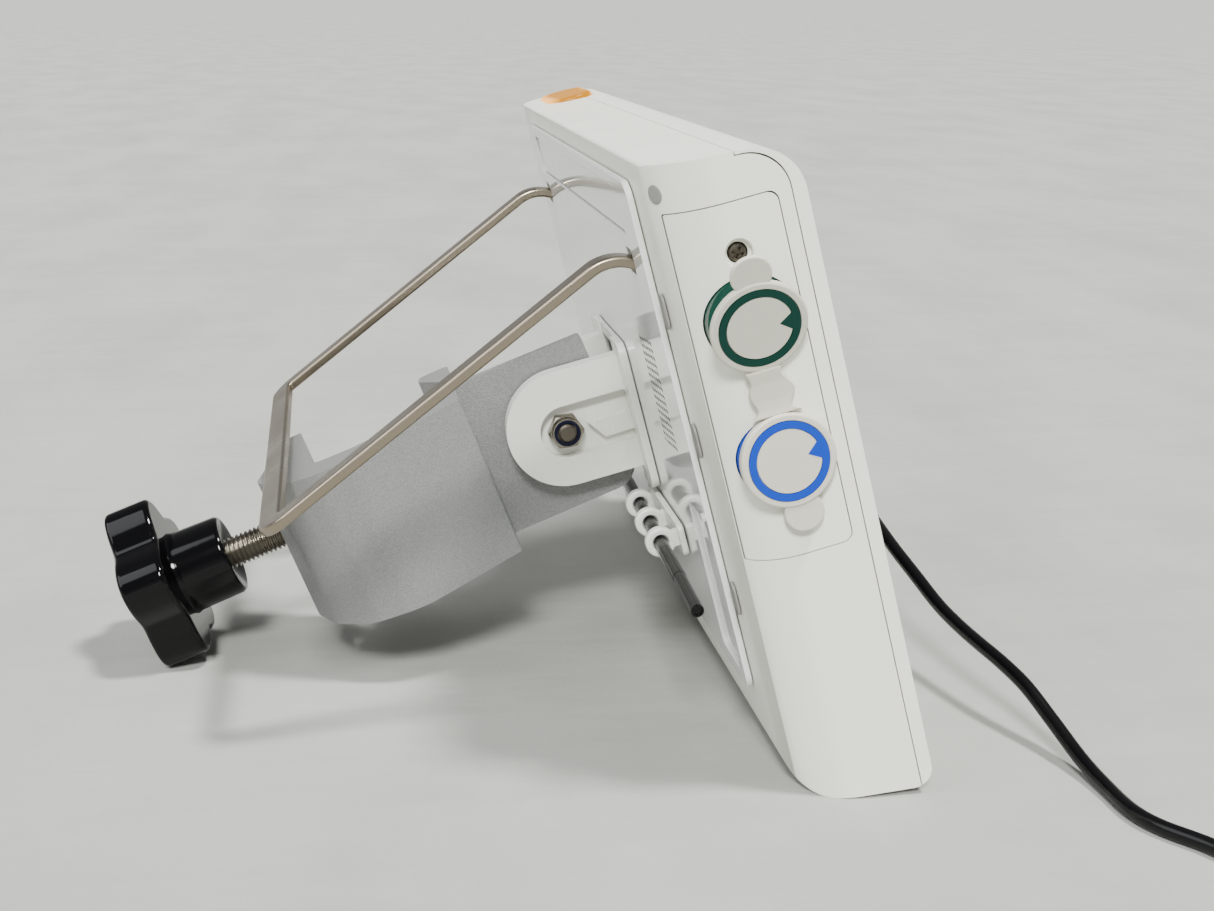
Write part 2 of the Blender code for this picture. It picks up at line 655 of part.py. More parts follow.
def build_bail(frame, paints):
    """U cut from flat bar, drawn flat as (x, along), then bent along its path."""
    inner = BAIL_HALF - BAIL_BAR
    outline = rounded([
        (-BAIL_HALF, 0, 0), (-BAIL_HALF, BAIL_REACH, 9 * MM),
        (BAIL_HALF, BAIL_REACH, 9 * MM), (BAIL_HALF, 0, 0),
        (inner, 0, 0), (inner, BAIL_REACH - BAIL_BAR, 1 * MM), (-inner, BAIL_REACH - BAIL_BAR, 1 * MM),
        (-inner, 0, 0),
    ], 6)
    bar = prism(outline, 0, BAIL_THICK, "Z")
    arc = BAIL_BEND * (BAIL_STUB_RISE + BAIL_LEG_FALL)
    steps = 8
    for step in range(steps + 1):
        at = BAIL_STUB + arc * step / steps
        geometry = bar.verts[:] + bar.edges[:] + bar.faces[:]
        bmesh.ops.bisect_plane(bar, geom=geometry, plane_co=(0, at, 0), plane_no=(0, 1, 0))
    for vertex in bar.verts:
        place, up = bail_path(vertex.co.y)
        point = place + up * vertex.co.z
        vertex.co = (vertex.co.x, point.x, point.y)
    return add("bail_handle", bar, paints["brushed"], frame)


def build_stylus(frame, paints):
    """Three moulded loops on a base strip, and the black stylus that slides in them towards -X."""
    hooks = add("stylus_holder", block(
        -54 * MM, -6 * MM, 2.3 * MM, 4.2 * MM, 47 * MM, 57 * MM, 2 * MM), paints["body"], frame)
    for number in range(3):
        middle = -10 * MM - number * 20 * MM
        centre = stylus_axis(middle)
        ring = turned([
            (2.35 * MM, middle - 1.5 * MM), (4.6 * MM, middle - 1.5 * MM), (4.6 * MM, middle + 1.5 * MM),
            (2.35 * MM, middle + 1.5 * MM),
        ], 24, "X", (0, *centre))
        foot = block(
            middle - 1.5 * MM, middle + 1.5 * MM, 3.2 * MM, centre[0] - 3.3 * MM,
            centre[1] - 2.6 * MM, centre[1] + 2.6 * MM)
        fuse(hooks, helper(f"loop_{number}", ring, frame))
        fuse(hooks, helper(f"loop_foot_{number}", foot, frame))
    start = Vector((0, *stylus_axis(0)))
    slope = Vector(stylus_axis(1)) - Vector(stylus_axis(0))
    rod = turned([
        (0, -110 * MM), (1.6 * MM, -110 * MM), (1.85 * MM, -109.8 * MM), (1.85 * MM, -83.2 * MM),
        (2.0 * MM, -82.8 * MM), (2.0 * MM, 16 * MM), (0.8 * MM, 24 * MM), (0, 24.5 * MM),
    ], 20, "X")
    add("stylus", rod, paints["dark"], frame, start, (0, -slope.y, slope.x))
    return hooks


def stylus_axis(x):
    """(y, z) of the stylus's centre line at x: it runs slightly out and up towards its flat end."""
    return (8.2 * MM - 0.028 * x, 52.1 * MM - 0.009 * x)


def build_power_button(frame, paints):
    """Round push button in the bezel's lower corner."""
    holder = empty("power_button_axis", frame, (104 * MM, -DEPTH, 8.5 * MM))
    return add("power_button", turned([
        (0, -0.7 * MM), (3.9 * MM, -0.7 * MM), (4.7 * MM, -0.1 * MM), (4.7 * MM, 2.0 * MM), (0, 2.0 * MM),
    ], 28, "Y"), paints["dome"], holder)


# ---------------------------------------------------------------- clamp

def clamp_outline():
    """The C seen along the pole, as (x, y): y runs from the hinge's side to the knob's side."""
    return rounded([
        (-30.5 * MM, 26.8 * MM, 0.8 * MM),
        (-34.8 * MM, 38.6 * MM, 14 * MM),
        (-43.0 * MM, 60.5 * MM, 20 * MM),
        (-40.2 * MM, 75.5 * MM, 14 * MM),
        (-31.0 * MM, 87.8 * MM, 12 * MM),
        (-16 * MM, 94.0 * MM, 10 * MM),
        (20 * MM, 84.5 * MM, 2 * MM),
        (19 * MM, 79 * MM, 2 * MM),
        (-27 * MM, 75 * MM, 6 * MM),
        (-30.8 * MM, 61.6 * MM, 10 * MM),
        (-31.5 * MM, 44 * MM, 5 * MM),
        (-14 * MM, 38.0 * MM, 1.5 * MM),
        (0, 30.5 * MM, 2 * MM),
        (12 * MM, 37.4 * MM, 2 * MM),
        (17 * MM, 36.6 * MM, 2 * MM),
        (18 * MM, 26.8 * MM, 2 * MM),
        (TONGUE_HALF, 26.8 * MM, 0),
        (TONGUE_HALF, -17.2 * MM, 0),
        (-TONGUE_HALF, -17.2 * MM, 0),
        (-TONGUE_HALF, 26.8 * MM, 0),
    ], 5)


def clamp_side_outline():
    """The casting seen along X, as (y, z): full height at the hinge, lower at the screw arm."""
    low = -CLAMP_HALF_HEIGHT
    return rounded([
        (-17.3 * MM, low - 0.4 * MM, 8 * MM), (50 * MM, low - 1.2 * MM, 0), (78 * MM, low - 0.8 * MM, 6 * MM),
        (100 * MM, -ARM_HALF_HEIGHT - 1.8 * MM, 6 * MM), (100 * MM, ARM_HALF_HEIGHT, 6 * MM),
        (80 * MM, ARM_HALF_HEIGHT + 1.6 * MM, 6 * MM), (50 * MM, -low, 0),
        (-15.2 * MM, -low + 0.6 * MM, 1.5 * MM),
    ], 4)


def build_clamp(holder, paints):
    casting = add("clamp_casting", prism(clamp_outline(), -40 * MM, 40 * MM, "Z"), paints["cast"], holder)
    keep_within(casting, helper("clamp_side", prism(clamp_side_outline(), -70 * MM, 40 * MM, "X"), holder))
    slope = prism([
        Vector((-11, 26.2)) * MM, Vector((14, 19.7)) * MM, Vector((14, 30)) * MM, Vector((-11, 30)) * MM,
    ], -20 * MM, 26.8 * MM, "Y")
    cut(
        casting,
        helper("tongue_slope", slope, holder),
        helper("bolt_bore", prism(circle(3.15 * MM, 24), -20 * MM, 20 * MM, "X"), holder),
    )
    boss = turned([
        (0, 70 * MM), (8.5 * MM, 70 * MM), (9 * MM, 91.5 * MM), (8 * MM, 92.3 * MM), (0, 92.3 * MM),
    ], 28, "Y")
    fuse(casting, helper("screw_boss", boss, holder))
    cut(
        casting,
        helper(
            "screw_bore", prism(circle(SCREW_RADIUS + 0.25 * MM, 26, (0, 0), 0.05), 60 * MM, 110 * MM, "Y"),
            holder),
        helper("boss_trim", prism(circle(11 * MM, 28), 55 * MM, 77 * MM, "Y"), holder),
    )
    return casting


def star_outline(radius, valley, lobes, turn, samples=12):
    """Rounded star: the edge swings between its lobes and its valleys."""
    points = []
    for i in range(lobes * samples):
        angle = 2 * math.pi * i / (lobes * samples)
        swing = 0.5 + 0.5 * math.cos(lobes * angle)
        reach = valley + (radius - valley) * swing ** 0.8
        points.append(Vector((-reach * math.cos(angle + turn), reach * math.sin(angle + turn))))
    return points


def build_clamp_screw(holder, paints):
    pad_face = SCREW_TIP - 5.4 * MM
    add("clamp_pad", turned([
        (0, pad_face), (8.2 * MM, pad_face), (9 * MM, pad_face + 0.8 * MM), (9 * MM, pad_face + 3 * MM),
        (6.2 * MM, pad_face + 5.1 * MM), (0, pad_face + 5.1 * MM),
    ], 32, "Y"), paints["dark"], holder)
    pitch = 1.5 * MM
    profile = [(0, SCREW_TIP), (3.6 * MM, SCREW_TIP), (4.2 * MM, SCREW_TIP + 1 * MM)]
    along = SCREW_TIP + 2 * MM
    while along < HUB_END + 6 * MM:
        profile.append((SCREW_RADIUS - 0.75 * MM, along))
        profile.append((SCREW_RADIUS, along + pitch / 2))
        along += pitch
    profile.append((SCREW_RADIUS - 0.75 * MM, along))
    profile.append((0, along))
    add("clamp_screw", turned(profile, 18, "Y"), paints["steel"], holder)
    hub = turned([
        (0, HUB_END + 9 * MM), (5.2 * MM, HUB_END + 9 * MM), (5.2 * MM, HUB_END + 2.2 * MM),
        (9.4 * MM, HUB_END + 0.6 * MM), (11.6 * MM, HUB_END), (12.8 * MM, HUB_END + 1.2 * MM),
        (13.2 * MM, HUB_END + 20 * MM), (0, HUB_END + 20 * MM),
    ], 40, "Y")
    knob = add("clamp_knob", hub, paints["knob"], holder)
    thick = (HUB_END + 16.8 * MM, HUB_END + 31.4 * MM)
    star = prism(star_outline(KNOB_RADIUS, KNOB_VALLEY, KNOB_LOBES, KNOB_TURN), *thick, "Y")
    lobes = helper("knob_star", star, holder)
    bevel = lobes.modifiers.new("soft_edge", "BEVEL")
    bevel.width = 1.8 * MM
    bevel.segments = 3
    bevel.limit_method = "ANGLE"
    bevel.angle_limit = math.radians(50)
    fuse(knob, lobes)
    return knob


# ---------------------------------------------------------------- DC lead

def cord_route():
    """Centre line from the strain relief's end, in front of the screen and along the floor, to the coil."""
    return [Vector(p) * MM for p in (
        (179.2, -78, 52.4), (192, -80, 52), (205.5, -90, 51.4), (212.5, -108, 50.4), (209.5, -128, 49),
        (195.5, -141, 47.4), (175.5, -146, 45.6), (143.5, -146.5, 43.4), (103.5, -144, 41), (63.5, -140, 39),
        (28.5, -136.5, 37.2), (-6.5, -134, 35), (-21.5, -134.6, 32), (-36.5, -136.5, 28), (-52.5, -139, 23.2),
        (-64.5, -141, 21), (-75.5, -143, 19.6), (-86.5, -145.5, 18), (-97.5, -148.5, 15),
        (-109.5, -151.5, 9.6),
        (-124.5, -154, 4.2), (-137.5, -155.2, 2.35), (-151.5, -155.8, 2.35), (-159.5, -158.5, 2.35),
        (-171.5, -166.5, 2.35), (-184.5, -172, 2.35), (-199.5, -176.5, 2.35), (-213.6, -189.5, 2.35),
        (-219.3, -205, 2.35),
    )]


def build_lead(root, frame, paints):
    jack_face = HALF + 0.2 * MM
    add("power_inlet", turned([
        (0, jack_face - 9 * MM), (6.0 * MM, jack_face - 9 * MM), (6.0 * MM, jack_face), (3.2 * MM, jack_face),
        (3.2 * MM, jack_face - 7 * MM), (0, jack_face - 7 * MM),
    ], 24, "X", (0, -INLET_DEPTH, INLET_UP)), paints["dark"], frame)
    plug_start = jack_face + GAP
    add("power_plug", turned([
        (0, plug_start - 6 * MM), (2.8 * MM, plug_start - 6 * MM), (2.8 * MM, plug_start),
        (5.2 * MM, plug_start),
        (5.4 * MM, plug_start + 1 * MM), (5.2 * MM, plug_start + 17 * MM), (4.6 * MM, plug_start + 18 * MM),
        (0, plug_start + 18 * MM),
    ], 24, "X", (0, -INLET_DEPTH, INLET_UP)), paints["cord"], frame)
    relief_start = plug_start + 18 * MM + GAP
    add("strain_relief", turned([
        (0, relief_start), (4.1 * MM, relief_start), (2.7 * MM, relief_start + 24 * MM),
        (0, relief_start + 24 * MM),
    ], 20, "X", (0, -INLET_DEPTH, INLET_UP)), paints["cord"], frame)

    route = smooth_curve(cord_route(), 6.4 * MM)
    curve = bpy.data.curves.new("power_cord", "CURVE")
    curve.dimensions = "3D"
    curve.bevel_depth = CORD_RADIUS
    curve.bevel_resolution = 2
    curve.use_fill_caps = True
    spline = curve.splines.new("POLY")
    spline.points.add(len(route) - 1)
    for point, place in zip(spline.points, route):
        point.co = (*place, 1.0)
    cord = bpy.data.objects.new("power_cord", curve)
    bpy.context.collection.objects.link(cord)
    cord.parent = root
    curve.materials.append(paints["cord"])

    bundle = [(COIL_RADIUS + p.x, p.y) for p in circle(COIL_BUNDLE, 12)]
    add("cord_coil", turned(bundle, 36, "Z"), paints["cord"], root, COIL_CENTRE)
    tie = turned([
        (COIL_BUNDLE + 0.7 * MM, -3 * MM), (COIL_BUNDLE + 1.6 * MM, -3 * MM),
        (COIL_BUNDLE + 1.6 * MM, 3 * MM),
        (COIL_BUNDLE + 0.7 * MM, 3 * MM),
    ], 20, "Y")
    tied_at = math.radians(-20)
    ring_point = COIL_CENTRE + Vector((math.cos(tied_at), math.sin(tied_at), 0)) * COIL_RADIUS
    add("cord_tie", tie, paints["dark"], root, ring_point, (0, 0, tied_at))
    away = COIL_RADIUS + COIL_BUNDLE + 5.3 * MM
    add("cord_connector", turned([
        (0, -20 * MM), (2.4 * MM, -20 * MM), (4.6 * MM, -2 * MM), (5.0 * MM, 0), (5.0 * MM, 18 * MM),
        (4.2 * MM, 19 * MM), (2.7 * MM, 19 * MM), (2.7 * MM, 28 * MM), (0, 28 * MM),
    ], 24, "X"), paints["cord"], root, COIL_CENTRE + Vector((6 * MM, -away, -3.0 * MM)))


def main():
    clear_scene()
    paints = make_paints()
    root = empty("patient_monitor", None, ORIGIN)
    frame = empty("monitor_frame", root, MONITOR_PLACE, (-LEAN, 0, 0))
    build_rear_housing(frame, paints)
    build_front_bezel(frame, paints)
    build_display(frame, paints)
    build_inside(frame, paints)
    build_alarm_light(frame, paints)
    build_side_panel(frame, paints)
    build_port("green", GREEN_UP, frame, paints)
    build_port("blue", BLUE_UP, frame, paints)
    build_caps(frame, paints)
    build_rear_panel(frame, paints)
    build_screw_plugs(frame, paints)
    build_hinge_bracket(frame, paints)
    build_pivot(frame, paints)
    build_bail(frame, paints)
    build_stylus(frame, paints)
    build_power_button(frame, paints)
    hinge = Euler((-LEAN, 0, 0)).to_matrix() @ Vector((HINGE_X, HINGE_BACK, HINGE_UP)) + MONITOR_PLACE
    clamp = empty("clamp_frame", root, hinge, (-CLAMP_FALL, 0, 0))
    build_clamp(clamp, paints)
    build_clamp_screw(clamp, paints)
    build_lead(root, frame, paints)


main()
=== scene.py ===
"""Patient monitor leaning on its pole clamp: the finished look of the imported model."""

import math

import bmesh
import bpy
from mathutils import Matrix, Vector


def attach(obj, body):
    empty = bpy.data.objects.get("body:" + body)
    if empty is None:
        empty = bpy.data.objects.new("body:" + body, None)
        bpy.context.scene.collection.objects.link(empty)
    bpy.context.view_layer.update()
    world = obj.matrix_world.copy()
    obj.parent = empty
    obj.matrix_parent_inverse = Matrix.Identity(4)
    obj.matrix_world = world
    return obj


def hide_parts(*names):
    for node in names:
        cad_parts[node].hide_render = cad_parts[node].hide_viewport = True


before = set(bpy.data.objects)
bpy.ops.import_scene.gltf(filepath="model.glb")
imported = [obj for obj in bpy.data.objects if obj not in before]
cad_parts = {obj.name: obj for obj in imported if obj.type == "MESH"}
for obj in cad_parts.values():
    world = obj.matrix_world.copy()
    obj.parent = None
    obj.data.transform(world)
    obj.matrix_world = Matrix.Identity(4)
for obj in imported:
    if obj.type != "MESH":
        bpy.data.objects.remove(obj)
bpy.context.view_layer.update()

# Shapes are drawn in millimetres, the housing and the clamp each in its own upright frame,
# and these matrices lean them into place.
MM = 0.001
LEAN = math.radians(14.3)
FALL = math.radians(20.9)
HINGE = Vector((8.15, -31.569, 72.52))
TO_WORLD = Matrix.Scale(MM, 4)
TO_MONITOR = TO_WORLD @ Matrix.Translation((5.15, -77.0, -2.07)) @ Matrix.Rotation(-LEAN, 4, "X")
TO_CLAMP = TO_WORLD @ Matrix.Translation(HINGE) @ Matrix.Rotation(-FALL, 4, "X")

CAMERA_PLACE = (-0.51335, 0.03895, 0.20303)
CAMERA_LENS = 49.94
CAMERA_DOWN = 15.23
CAMERA_HEADING = -99.40

# Housing: x from -HALF to HALF, y from -DEPTH (front) to 0 (rear), z up to TOP.
HALF = 132.0
DEPTH = 36.0
TOP = 171.8
WALL = 2.6
CUT_DEPTH = 14.0
SEAM_DEPTH = 32.2
STEP_DEPTH = 20.5
VENT_SLOT = ((-1.5, -0.75), (1.5, -0.25), (1.5, 0.75), (-1.5, 0.25))
VENT_START = (-78.5, 88.0)
VENT_COLUMNS = 5
VENT_ROWS = 15
# Box in x and z inside which the vent slot walls get painted shade.
VENT_ZONE = ((-82, -58), (86, 121))
BUTTON_SPOT = (104, 8.5)

# Side with the ports.
PORT_DEPTH = 16.3
GREEN_UP = 130.2
BLUE_UP = 94.6
PORT_HOLE = 11.5
SCREW_SPOT = (0, -16.6, 147)

# Hinge: its axis runs along x at (HINGE_BACK, HINGE_UP).
HINGE_X = 3.0
HINGE_BACK = 25.6
HINGE_UP = 83.5
TONGUE_HALF = 12.2
EAR_GAP = TONGUE_HALF + 0.9
EAR_WIDTH = 5.6
NUT_FACE = 15.6

# Bail: a flat bar drawn straight, then bent once at each end.
BAIL_HALF = 86.0
BAIL_WIDTH = 7.6
BAIL_THICK = 3.1
BAIL_REACH = 123.4
BAIL_FOOT = -2.2
BAIL_ROOT = Vector((2.6, 140.95))
BAIL_RISE = math.radians(30)
BAIL_FALL = math.radians(23.6)
BAIL_BEND = 11
BAIL_BEND_START = 0.5
BAIL_ARC = BAIL_BEND * (BAIL_RISE + BAIL_FALL)

STYLUS_TURN = 0.028
STYLUS_DIP = 0.009
LOOP_STEP = 20

KNOB_START = 112.3

# Lead.
CORD_RADIUS = 2.1
CORD_POINT_GAP = 2.4
LEAD_SHIFT = Vector((1.65, -1.75, -0.07))
COIL_CENTRE = Vector((-186.5, -208, 8.2)) + LEAD_SHIFT
COIL_RADIUS = 24.0
COIL_TURNS = 7
COIL_SLOTS = ((0, 0), (3.64, -2.1), (0, -4.2), (-3.64, -2.1), (-3.64, 2.1), (0, 4.2), (3.64, 2.1))
TAIL_RADIUS = 17


# ---------------------------------------------------------------- camera, light and floor

def make_camera():
    data = bpy.data.cameras.new("camera")
    data.sensor_width = 36
    data.lens = CAMERA_LENS
    data.clip_start = 0.01
    camera = bpy.data.objects.new("camera", data)
    camera.location = CAMERA_PLACE
    camera.rotation_euler = (math.radians(90 - CAMERA_DOWN), 0, math.radians(CAMERA_HEADING))
    bpy.context.collection.objects.link(camera)
    bpy.context.scene.camera = camera


def sun_light(name, heading, power, softness, colour):
    """Sun that shines along `heading`, `softness` degrees wide."""
    data = bpy.data.lights.new(name, "SUN")
    data.energy = power
    data.angle = math.radians(softness)
    data.color = colour
    light = bpy.data.objects.new(name, data)
    light.location = -1.5 * Vector(heading)
    light.rotation_euler = Vector(heading).to_track_quat("-Z", "Y").to_euler()
    bpy.context.collection.objects.link(light)


def make_stage():
    """Room light that fades upward, three suns and a sheet on the floor."""
    world = bpy.data.worlds.new("studio")
    bpy.context.scene.world = world
    world.use_nodes = True
    tree = world.node_tree
    background = tree.nodes["Background"]
    coords = tree.nodes.new("ShaderNodeTexCoord")
    split = tree.nodes.new("ShaderNodeSeparateXYZ")
    tree.links.new(coords.outputs["Generated"], split.inputs["Vector"])
    strength = remap(tree, split.outputs["Z"], 0.02, 0.30, 0.80, 0.26)
    tree.links.new(strength, background.inputs["Strength"])
    background.inputs["Color"].default_value = (0.96, 0.97, 0.96, 1)
    sun_light("key", (0.22, 0.30, -1.0), 5.0, 8, (1, 0.99, 0.96))
    sun_light("side", (0.85, -0.22, -0.78), 4.8, 13, (1, 0.995, 0.97))
    sun_light("rear", (0.15, -0.85, -0.75), 1.4, 40, (0.97, 0.985, 1))
    floor = bmesh.new()
    bmesh.ops.create_grid(floor, x_segments=2, y_segments=2, size=300)
    mesh = bpy.data.meshes.new("floor")
    floor.to_mesh(mesh)
    floor.free()
    ground = bpy.data.objects.new("floor", mesh)
    bpy.context.collection.objects.link(ground)
    mesh.materials.append(make_paper())


# ---------------------------------------------------------------- materials

def node_of(tree, kind, **inputs):
    node = tree.nodes.new(kind)
    for key, value in inputs.items():
        node.inputs[key.replace("_", " ")].default_value = value
    return node


def noise(tree, scale, detail, roughness=0.55, stretch=None):
    texture = node_of(tree, "ShaderNodeTexNoise", Scale=scale, Detail=detail, Roughness=roughness)
    coords = tree.nodes.new("ShaderNodeTexCoord")
    if stretch:
        mapping = tree.nodes.new("ShaderNodeMapping")
        mapping.inputs["Scale"].default_value = stretch
        tree.links.new(coords.outputs["Object"], mapping.inputs["Vector"])
        tree.links.new(mapping.outputs["Vector"], texture.inputs["Vector"])
    else:
        tree.links.new(coords.outputs["Object"], texture.inputs["Vector"])
    return texture


def remap(tree, source, low, high, to_low=0, to_high=1):
    ramp = tree.nodes.new("ShaderNodeMapRange")
    ramp.inputs["From Min"].default_value = low
    ramp.inputs["From Max"].default_value = high
    ramp.inputs["To Min"].default_value = to_low
    ramp.inputs["To Max"].default_value = to_high
    tree.links.new(source, ramp.inputs["Value"])
    return ramp.outputs["Result"]


def bump(tree, height, strength, distance, shader, before=None):
    node = node_of(tree, "ShaderNodeBump", Strength=strength, Distance=distance)
    tree.links.new(height, node.inputs["Height"])
    if before:
        tree.links.new(before.outputs["Normal"], node.inputs["Normal"])
    tree.links.new(node.outputs["Normal"], shader.inputs["Normal"])
    return node


def base(name, colour, roughness, metallic=0.0, coat=0.0):
    material = bpy.data.materials.new(name)
    material.use_nodes = True
    shader = material.node_tree.nodes["Principled BSDF"]
    shader.inputs["Base Color"].default_value = (*colour, 1)
    shader.inputs["Roughness"].default_value = roughness
    shader.inputs["Metallic"].default_value = metallic
    shader.inputs["Coat Weight"].default_value = coat
    shader.inputs["Coat Roughness"].default_value = 0.05
    return material, material.node_tree, shader


def mixed_colour(tree, factor, one, two, shader, socket="Base Color"):
    mix = tree.nodes.new("ShaderNodeMix")
    mix.data_type = "RGBA"
    tree.links.new(factor, mix.inputs["Factor"])
    mix.inputs["A"].default_value = (*one, 1)
    mix.inputs["B"].default_value = (*two, 1)
    tree.links.new(mix.outputs["Result"], shader.inputs[socket])


def darkened(colour, part):
    return tuple(channel * (1 - part) for channel in colour)


def plastic(name, colour, roughness, grain=0.0, grain_scale=1400.0, shade=0.03, coat=0.0, shine=0.5):
    """Moulded plastic: a faint tone drift, an uneven gloss and a fine spark-eroded grain."""
    material, tree, shader = base(name, colour, roughness, coat=coat)
    shader.inputs["Specular IOR Level"].default_value = shine
    drift = noise(tree, 22, 4)
    mixed_colour(tree, remap(tree, drift.outputs["Fac"], 0.35, 0.65), colour, darkened(colour, shade), shader)
    smear = noise(tree, 60, 5, 0.6)
    spread = remap(tree, smear.outputs["Fac"], 0.3, 0.7, roughness * 0.85, roughness * 1.15)
    tree.links.new(spread, shader.inputs["Roughness"])
    if grain:
        fine = noise(tree, grain_scale, 2)
        bump(tree, fine.outputs["Fac"], grain, 0.0002, shader)
    return material


def metal(name, colour, roughness, scale=700.0, contrast=0.10, strength=0.04):
    """Bare metal with a fine all-over finish, a little darker and rougher in patches."""
    material, tree, shader = base(name, colour, roughness, metallic=1.0)
    fine = noise(tree, scale, 3, 0.6)
    patch = noise(tree, 45, 4, 0.6)
    spread = remap(tree, patch.outputs["Fac"], 0.3, 0.7, roughness * 0.8, roughness * 1.3)
    tree.links.new(spread, shader.inputs["Roughness"])
    tint = remap(tree, patch.outputs["Fac"], 0.35, 0.65)
    mixed_colour(tree, tint, colour, darkened(colour, contrast), shader)
    bump(tree, fine.outputs["Fac"], strength, 0.0001, shader)
    return material


def make_paper():
    """Pale non-woven sheet: soft tone drift, long faint folds and a fine fibre."""
    material, tree, shader = base("pale_sheet", (0.34, 0.342, 0.325), 0.9)
    shader.inputs["Specular IOR Level"].default_value = 0.2
    drift = noise(tree, 4, 6, 0.6, (1, 2.5, 1))
    light, dark = (0.365, 0.368, 0.348), (0.305, 0.308, 0.292)
    mixed_colour(tree, remap(tree, drift.outputs["Fac"], 0.32, 0.68), light, dark, shader)
    folds = noise(tree, 7, 4, 0.5, (3, 1, 1))
    fibre = noise(tree, 900, 3, 0.6, (0.3, 1, 1))
    first = bump(tree, folds.outputs["Fac"], 0.30, 0.010, shader)
    bump(tree, fibre.outputs["Fac"], 0.25, 0.0003, shader, first)
    return material


def make_hammered():
    """Silver powder coat on a casting: a fine even grain with small bright and dark specks."""
    material, tree, shader = base("cast_silver", (0.36, 0.37, 0.37), 0.42, metallic=0.30, coat=0.10)
    cells = node_of(tree, "ShaderNodeTexVoronoi", Scale=2200.0)
    coords = tree.nodes.new("ShaderNodeTexCoord")
    tree.links.new(coords.outputs["Object"], cells.inputs["Vector"])
    grain = noise(tree, 2600, 2, 0.6)
    first = bump(tree, cells.outputs["Distance"], 0.32, 0.0003, shader)
    bump(tree, grain.outputs["Fac"], 0.32, 0.0003, shader, first)
    specks = remap(tree, grain.outputs["Fac"], 0.38, 0.62)
    mixed_colour(tree, specks, (0.265, 0.27, 0.266), (0.195, 0.2, 0.198), shader)
    return material


def make_lens():
    """Lit orange pill: deep orange along its middle, paler and brighter at its edge."""
    material, tree, shader = base("lit_orange", (0.02, 0.005, 0.0), 0.3)
    coords = tree.nodes.new("ShaderNodeTexCoord")
    split = tree.nodes.new("ShaderNodeSeparateXYZ")
    tree.links.new(coords.outputs["Generated"], split.inputs["Vector"])
    across = tree.nodes.new("ShaderNodeMath")
    across.operation = "PINGPONG"
    across.inputs[1].default_value = 0.5
    tree.links.new(split.outputs["Y"], across.inputs[0])
    drift = noise(tree, 120, 3)
    wave = remap(tree, drift.outputs["Fac"], 0.3, 0.7, -0.06, 0.06)
    total = tree.nodes.new("ShaderNodeMath")
    tree.links.new(across.outputs["Value"], total.inputs[0])
    tree.links.new(wave, total.inputs[1])
    fade = remap(tree, total.outputs["Value"], 0.03, 0.20)
    mixed_colour(tree, fade, (1.0, 0.46, 0.10), (0.42, 0.165, 0.0), shader, "Emission Color")
    shader.inputs["Emission Strength"].default_value = 2.6
    shader.inputs["Specular IOR Level"].default_value = 0.15
    return material


PAINT = {}


def make_paints():
    PAINT.update({
        "body": plastic("satin_white", (0.83, 0.835, 0.755), 0.36, 0.10),
        "bezel": plastic("bezel_white", (0.85, 0.855, 0.78), 0.33, 0.06),
        "panel": plastic("side_white", (0.83, 0.84, 0.755), 0.38, 0.08),
        "gloss": plastic("gloss_white", (0.78, 0.80, 0.77), 0.08, coat=0.6, shade=0.02),
        "hinge": plastic("hinge_white", (0.74, 0.745, 0.69), 0.26, 0.04, coat=0.15),
        "glass": plastic("display_glass", (0.008, 0.010, 0.013), 0.05, coat=1.0),
        "display": plastic("display_cell", (0.02, 0.025, 0.03), 0.3),
        "board": plastic("board_green", (0.02, 0.14, 0.06), 0.45, 0.2, 900),
        # vent: painted shade, a dark colour on the slot walls that stands in for the shadow inside the vent
        # slots.
        "vent": plastic("vent_painted_shade", (0.10, 0.10, 0.095), 0.7),
        "battery": plastic("battery_blue", (0.03, 0.05, 0.12), 0.45),
        "rubber": plastic("warm_rubber", (0.57, 0.56, 0.475), 0.58, 0.18, 1900, 0.05),
        "green": plastic("ring_green", (0.0, 0.036, 0.025), 0.50, 0.05, shine=0.2),
        "collar": plastic("collar_green", (0.0, 0.045, 0.030), 0.35, 0.05),
        "blue": plastic("ring_blue", (0.004, 0.045, 0.42), 0.50, 0.05, shine=0.2),
        "plug": plastic("plug_grey", (0.24, 0.24, 0.225), 0.65, 0.1),
        "black": plastic("satin_black", (0.003, 0.003, 0.0035), 0.26, 0.02, shade=0.2, shine=0.22),
        "knob": plastic("gloss_black", (0.0015, 0.0015, 0.002), 0.08, 0.02, 300, 0.2, shine=0.22),
        "cord": plastic("cord_black", (0.002, 0.002, 0.0025), 0.26, 0.03, 1200, 0.2, shine=0.24),
        "nylon": plastic("white_nylon", (0.72, 0.72, 0.69), 0.5, 0.05),
        "navy": plastic("navy_nylon", (0.001, 0.002, 0.018), 0.35, shine=0.2),
        "button": plastic("button_grey", (0.30, 0.32, 0.34), 0.45, 0.05),
        "steel": metal("zinc_steel", (0.27, 0.25, 0.21), 0.24),
        "screw": metal("dark_steel", (0.13, 0.115, 0.095), 0.34),
        "bail": metal("brushed_bar", (0.31, 0.265, 0.205), 0.30, 1200, 0.05, 0.02),
        "cast": make_hammered(),
        "lens": make_lens(),
    })


# ---------------------------------------------------------------- mesh tools, in millimetres

def rounded(corners, steps=8):
    """Closed outline through (u, v, radius) corners, each turned into an arc of its radius."""
    outline = []
    count = len(corners)
    for index, (u, v, radius) in enumerate(corners):
        here = Vector((u, v))
        if radius == 0:
            outline.append(here)
            continue
        before = (Vector(corners[index - 1][:2]) - here).normalized()
        after = (Vector(corners[(index + 1) % count][:2]) - here).normalized()
        half_angle = before.angle(after) / 2
        reach = radius / math.tan(half_angle)
        centre = here + (before + after).normalized() * (radius / math.sin(half_angle))
        start = here + before * reach - centre
        end = here + after * reach - centre
        sweep = start.angle_signed(end)
        for step in range(steps + 1):
            turn = Matrix.Rotation(-sweep * step / steps, 2)
            outline.append(centre + turn @ start)
    return outline


